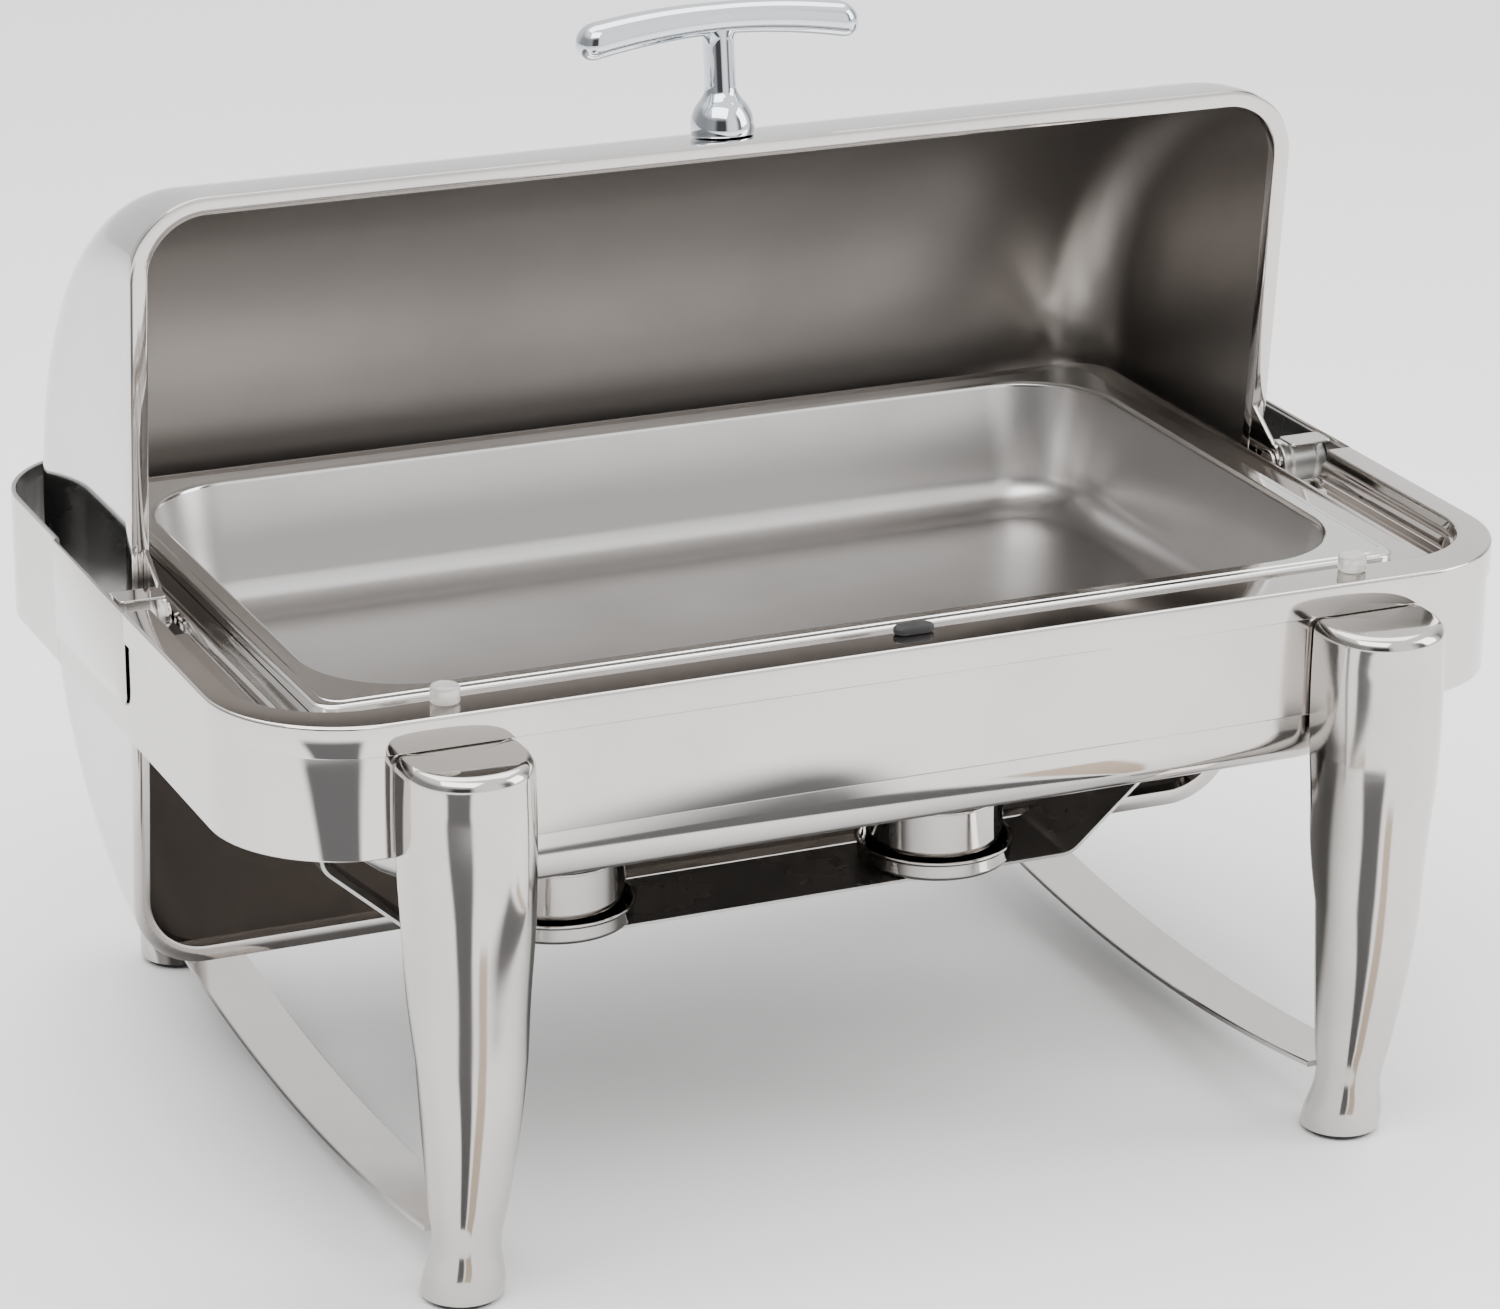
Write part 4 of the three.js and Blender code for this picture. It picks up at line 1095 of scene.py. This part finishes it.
@dataclass
class Studio:
    """Floor, lights, surroundings and camera."""

    azimuth: float = math.radians(-23.88)
    elevation: float = math.radians(20.13)
    roll: float = math.radians(0.393)
    distance: float = 2.470
    lens: float = 124.28
    aim: Vector = field(default_factory=lambda: Vector((0.0074, 0.0055, 0.1958)))

    def camera(self) -> None:
        """Camera on its sphere round the aim point, with a slight roll."""
        right = Vector((math.cos(self.azimuth), math.sin(self.azimuth), 0))
        flat = math.cos(self.elevation)
        back = Vector((math.sin(self.azimuth) * flat, -math.cos(self.azimuth) * flat,
                       math.sin(self.elevation)))
        up = back.cross(right)
        across = right * math.cos(self.roll) + up * math.sin(self.roll)
        above = up * math.cos(self.roll) - right * math.sin(self.roll)
        data = bpy.data.cameras.new("camera")
        data.lens = self.lens
        data.sensor_width = 36.0
        data.clip_end = 50.0
        camera = bpy.data.objects.new("camera", data)
        camera.matrix_world = Matrix.Translation(self.aim + back * self.distance) @ Matrix(
            (across, above, back)).transposed().to_4x4()
        bpy.context.scene.collection.objects.link(camera)
        bpy.context.scene.camera = camera

    def floor(self) -> None:
        """Pale flat floor just under the feet."""
        run = np.linspace(-6, 6, 3)
        x, y = np.meshgrid(run, run, indexing="ij")
        grid = np.stack([x, y, np.full_like(x, -0.0006)], axis=-1)
        mesh = bpy.data.meshes.new("floor")
        mesh.from_pydata(grid.reshape(-1, 3), [], Patch(grid).quads(0))
        material = bpy.data.materials.new("pale_floor")
        material.use_nodes = True
        shader = material.node_tree.nodes["Principled BSDF"]
        shader.inputs["Base Color"].default_value = (0.95, 0.95, 0.95, 1)
        shader.inputs["Roughness"].default_value = 0.7
        mesh.materials.append(material)
        floor = bpy.data.objects.new("floor", mesh)
        bpy.context.scene.collection.objects.link(floor)

    @staticmethod
    def card_finish(name: str, color: Color, strength: float) -> bpy.types.Material:
        """Card material that fades out towards the card's long edges.

        Args:
            name: the material's name.
            color: the card's colour.
            strength: how much of the floor the middle of the card hides.

        Returns:
            The new material.
        """
        material = bpy.data.materials.new(name)
        material.use_nodes = True
        tree = material.node_tree
        shader = tree.nodes["Principled BSDF"]
        shader.inputs["Base Color"].default_value = (*color, 1)
        shader.inputs["Roughness"].default_value = 0.9
        fade = add(tree, "Attribute", None, {"attribute_name": "fade"}).outputs["Fac"]
        smooth = {"interpolation_type": "SMOOTHSTEP"}
        spread = add(tree, "MapRange", {"Value": fade}, smooth, To_Max=strength)
        tree.links.new(spread.outputs["Result"], shader.inputs["Alpha"])
        return material

    def cards(self) -> None:
        """Reflection cards flat on the floor before each front leg, seen only in reflections.

        Each card is a sector about the foot whose sides spread with the distance: a dark one
        that gives the legs their dark stripe, and a narrow warm one closer in. The fade is 0
        on its two long sides and 1 over its middle.
        """
        dark = self.card_finish("dark_card", (0.01, 0.01, 0.013), 0.93)
        warm = self.card_finish("warm_card", (0.36, 0.26, 0.16), 0.8)
        sectors = ((dark, 0.03, {Side.LEFT: 0.95, Side.RIGHT: 0.47}, (-40, -14), (-64, 0), 0.0004),
                   (warm, 0.03, {Side.LEFT: 0.34, Side.RIGHT: 0.34}, (-12, 14), (2, 16), 0.0007))
        for material, near, far, near_arc, far_arc, level in sectors:
            for side in Side:
                share = np.linspace(0, 1, 16)[:, None]
                across = np.linspace(0, 1, 25)[None, :]
                start, stop = (near_arc[i] + (far_arc[i] - near_arc[i]) * share for i in (0, 1))
                bearing = np.radians(start + (stop - start) * across)
                reach = near + (far[side] - near) * share
                x = 0.2205 * side.value - 0.012 + reach * np.sin(bearing)
                y = -0.22 - reach * np.cos(bearing)
                grid = np.stack([x, y, np.full_like(x, level)], axis=-1)
                fade = 1 - np.abs(across * 2 - 1) * np.ones_like(share)
                fade = np.minimum(fade * 3.5, 1) * np.clip((1 - share) * 5, 0, 1)
                self.card(f"{material.name}_{side.word}", grid, fade, material)
        # Dark card under the body, seen only in reflections: painted shade that darkens the floor's
        # reflection beneath the housing.
        x, y = np.meshgrid(np.linspace(-0.34, 0.34, 40), np.linspace(-0.13, 0.2, 24), indexing="ij")
        grid = np.stack([x, y, np.full_like(x, 0.0003)], axis=-1)
        fade = np.minimum((0.34 - np.abs(x)) / 0.1, 1) * np.minimum(np.minimum(y + 0.13, 0.2 - y) / 0.08, 1)
        shade = self.card_finish("under_shade_card", (0.03, 0.026, 0.023), 0.8)
        self.card("under_shade_card", grid, np.clip(fade, 0, 1), shade)

    @staticmethod
    def card(name: str, grid: np.ndarray, fade: np.ndarray, material: bpy.types.Material) -> None:
        """One staged card that only reflections see, with its fade as a point attribute."""
        mesh = bpy.data.meshes.new(name)
        mesh.from_pydata(grid.reshape(-1, 3), [], Patch(grid).quads(0))
        mesh.attributes.new("fade", "FLOAT", "POINT").data.foreach_set("value", fade.ravel())
        mesh.materials.append(material)
        card = bpy.data.objects.new(name, mesh)
        card.visible_camera = card.visible_diffuse = card.visible_shadow = False
        bpy.context.scene.collection.objects.link(card)

    def surroundings(self) -> None:
        """Studio surroundings: bright above, with darker gaps between the light walls."""
        world = bpy.data.worlds.new("studio")
        world.use_nodes = True
        tree = world.node_tree
        place = add(tree, "TexCoord").outputs["Generated"]
        split = add(tree, "SeparateXYZ", {"Vector": place}).outputs
        bearing = add(tree, "Math", None, {"operation": "ARCTAN2"})
        for axis, socket in zip("YX", bearing.inputs):
            tree.links.new(split[axis], socket)
        feeds = {"Value": bearing.outputs["Value"]}
        share = add(tree, "MapRange", feeds, None, From_Min=-math.pi, From_Max=math.pi)
        walls = add(tree, "ValToRGB", {"Fac": share.outputs["Result"]})
        stops = ((0.0, 0.22), (0.10, 0.28), (0.14, 0.05), (0.22, 0.05), (0.25, 0.9), (0.33, 1.0),
                 (0.36, 0.15), (0.38, 0.15), (0.41, 0.95), (0.49, 0.9), (0.52, 0.2), (0.56, 0.5),
                 (0.63, 0.85), (0.80, 0.6), (0.90, 0.25), (1.0, 0.22))
        ramp = walls.color_ramp.elements
        ramp[0].position, ramp[1].position = stops[0][0], stops[-1][0]
        for position, _ in stops[1:-1]:
            ramp.new(position)
        for element, (_, value) in zip(ramp, stops):
            element.color = (value, value, value, 1)
        smooth = {"interpolation_type": "SMOOTHSTEP"}
        height = add(tree, "MapRange", {"Value": split["Z"]}, smooth, From_Min=0.35, From_Max=0.75)
        feeds = {"Factor": height.outputs["Result"], "A": walls.outputs["Color"]}
        sky = add(tree, "Mix", feeds, {"data_type": "RGBA"}, B=(0.95, 0.95, 0.95, 1))
        background = tree.nodes["Background"].inputs
        tree.links.new(sky.outputs["Result"], background["Color"])
        background["Strength"].default_value = 1.7
        bpy.context.scene.world = world

    def lamp(self, name: str, place: Vector, size: tuple[float, float], power: float) -> None:
        """One rectangular soft light that faces the object.

        Args:
            name: the light's name.
            place: its middle, in metres.
            size: its width and height, in metres.
            power: its power in watts.
        """
        data = bpy.data.lights.new(name, "AREA")
        data.shape = "RECTANGLE"
        data.size, data.size_y = size
        data.energy = power
        light = bpy.data.objects.new(name, data)
        light.location = place
        light.rotation_euler = (place - Vector((0, 0, 0.25))).to_track_quat("Z", "Y").to_euler()
        bpy.context.scene.collection.objects.link(light)

    def build(self) -> None:
        """Sets up the whole studio."""
        self.camera()
        self.floor()
        self.cards()
        self.surroundings()
        self.lamp("key_light", Vector((-0.9, -1.2, 2.5)), (2.6, 1.6), 60)
        self.lamp("fill_light", Vector((2.4, -1.2, 1.5)), (1.4, 2.0), 44)
        self.lamp("top_light", Vector((0.2, 0.8, 2.7)), (3.2, 1.8), 60)


def main() -> None:
    """Builds the studio and every part of the chafing dish."""
    logging.basicConfig(level=logging.INFO, format="%(name)s %(message)s")
    Studio().build()
    shop = Shop()
    for maker in (Body(), FoodPan(), Lid(), Legs(), FuelHolders(), Stops()):
        maker.build(shop)
        LOG.info("built %s", type(maker).__name__)


if __name__ == "__main__":
    main()
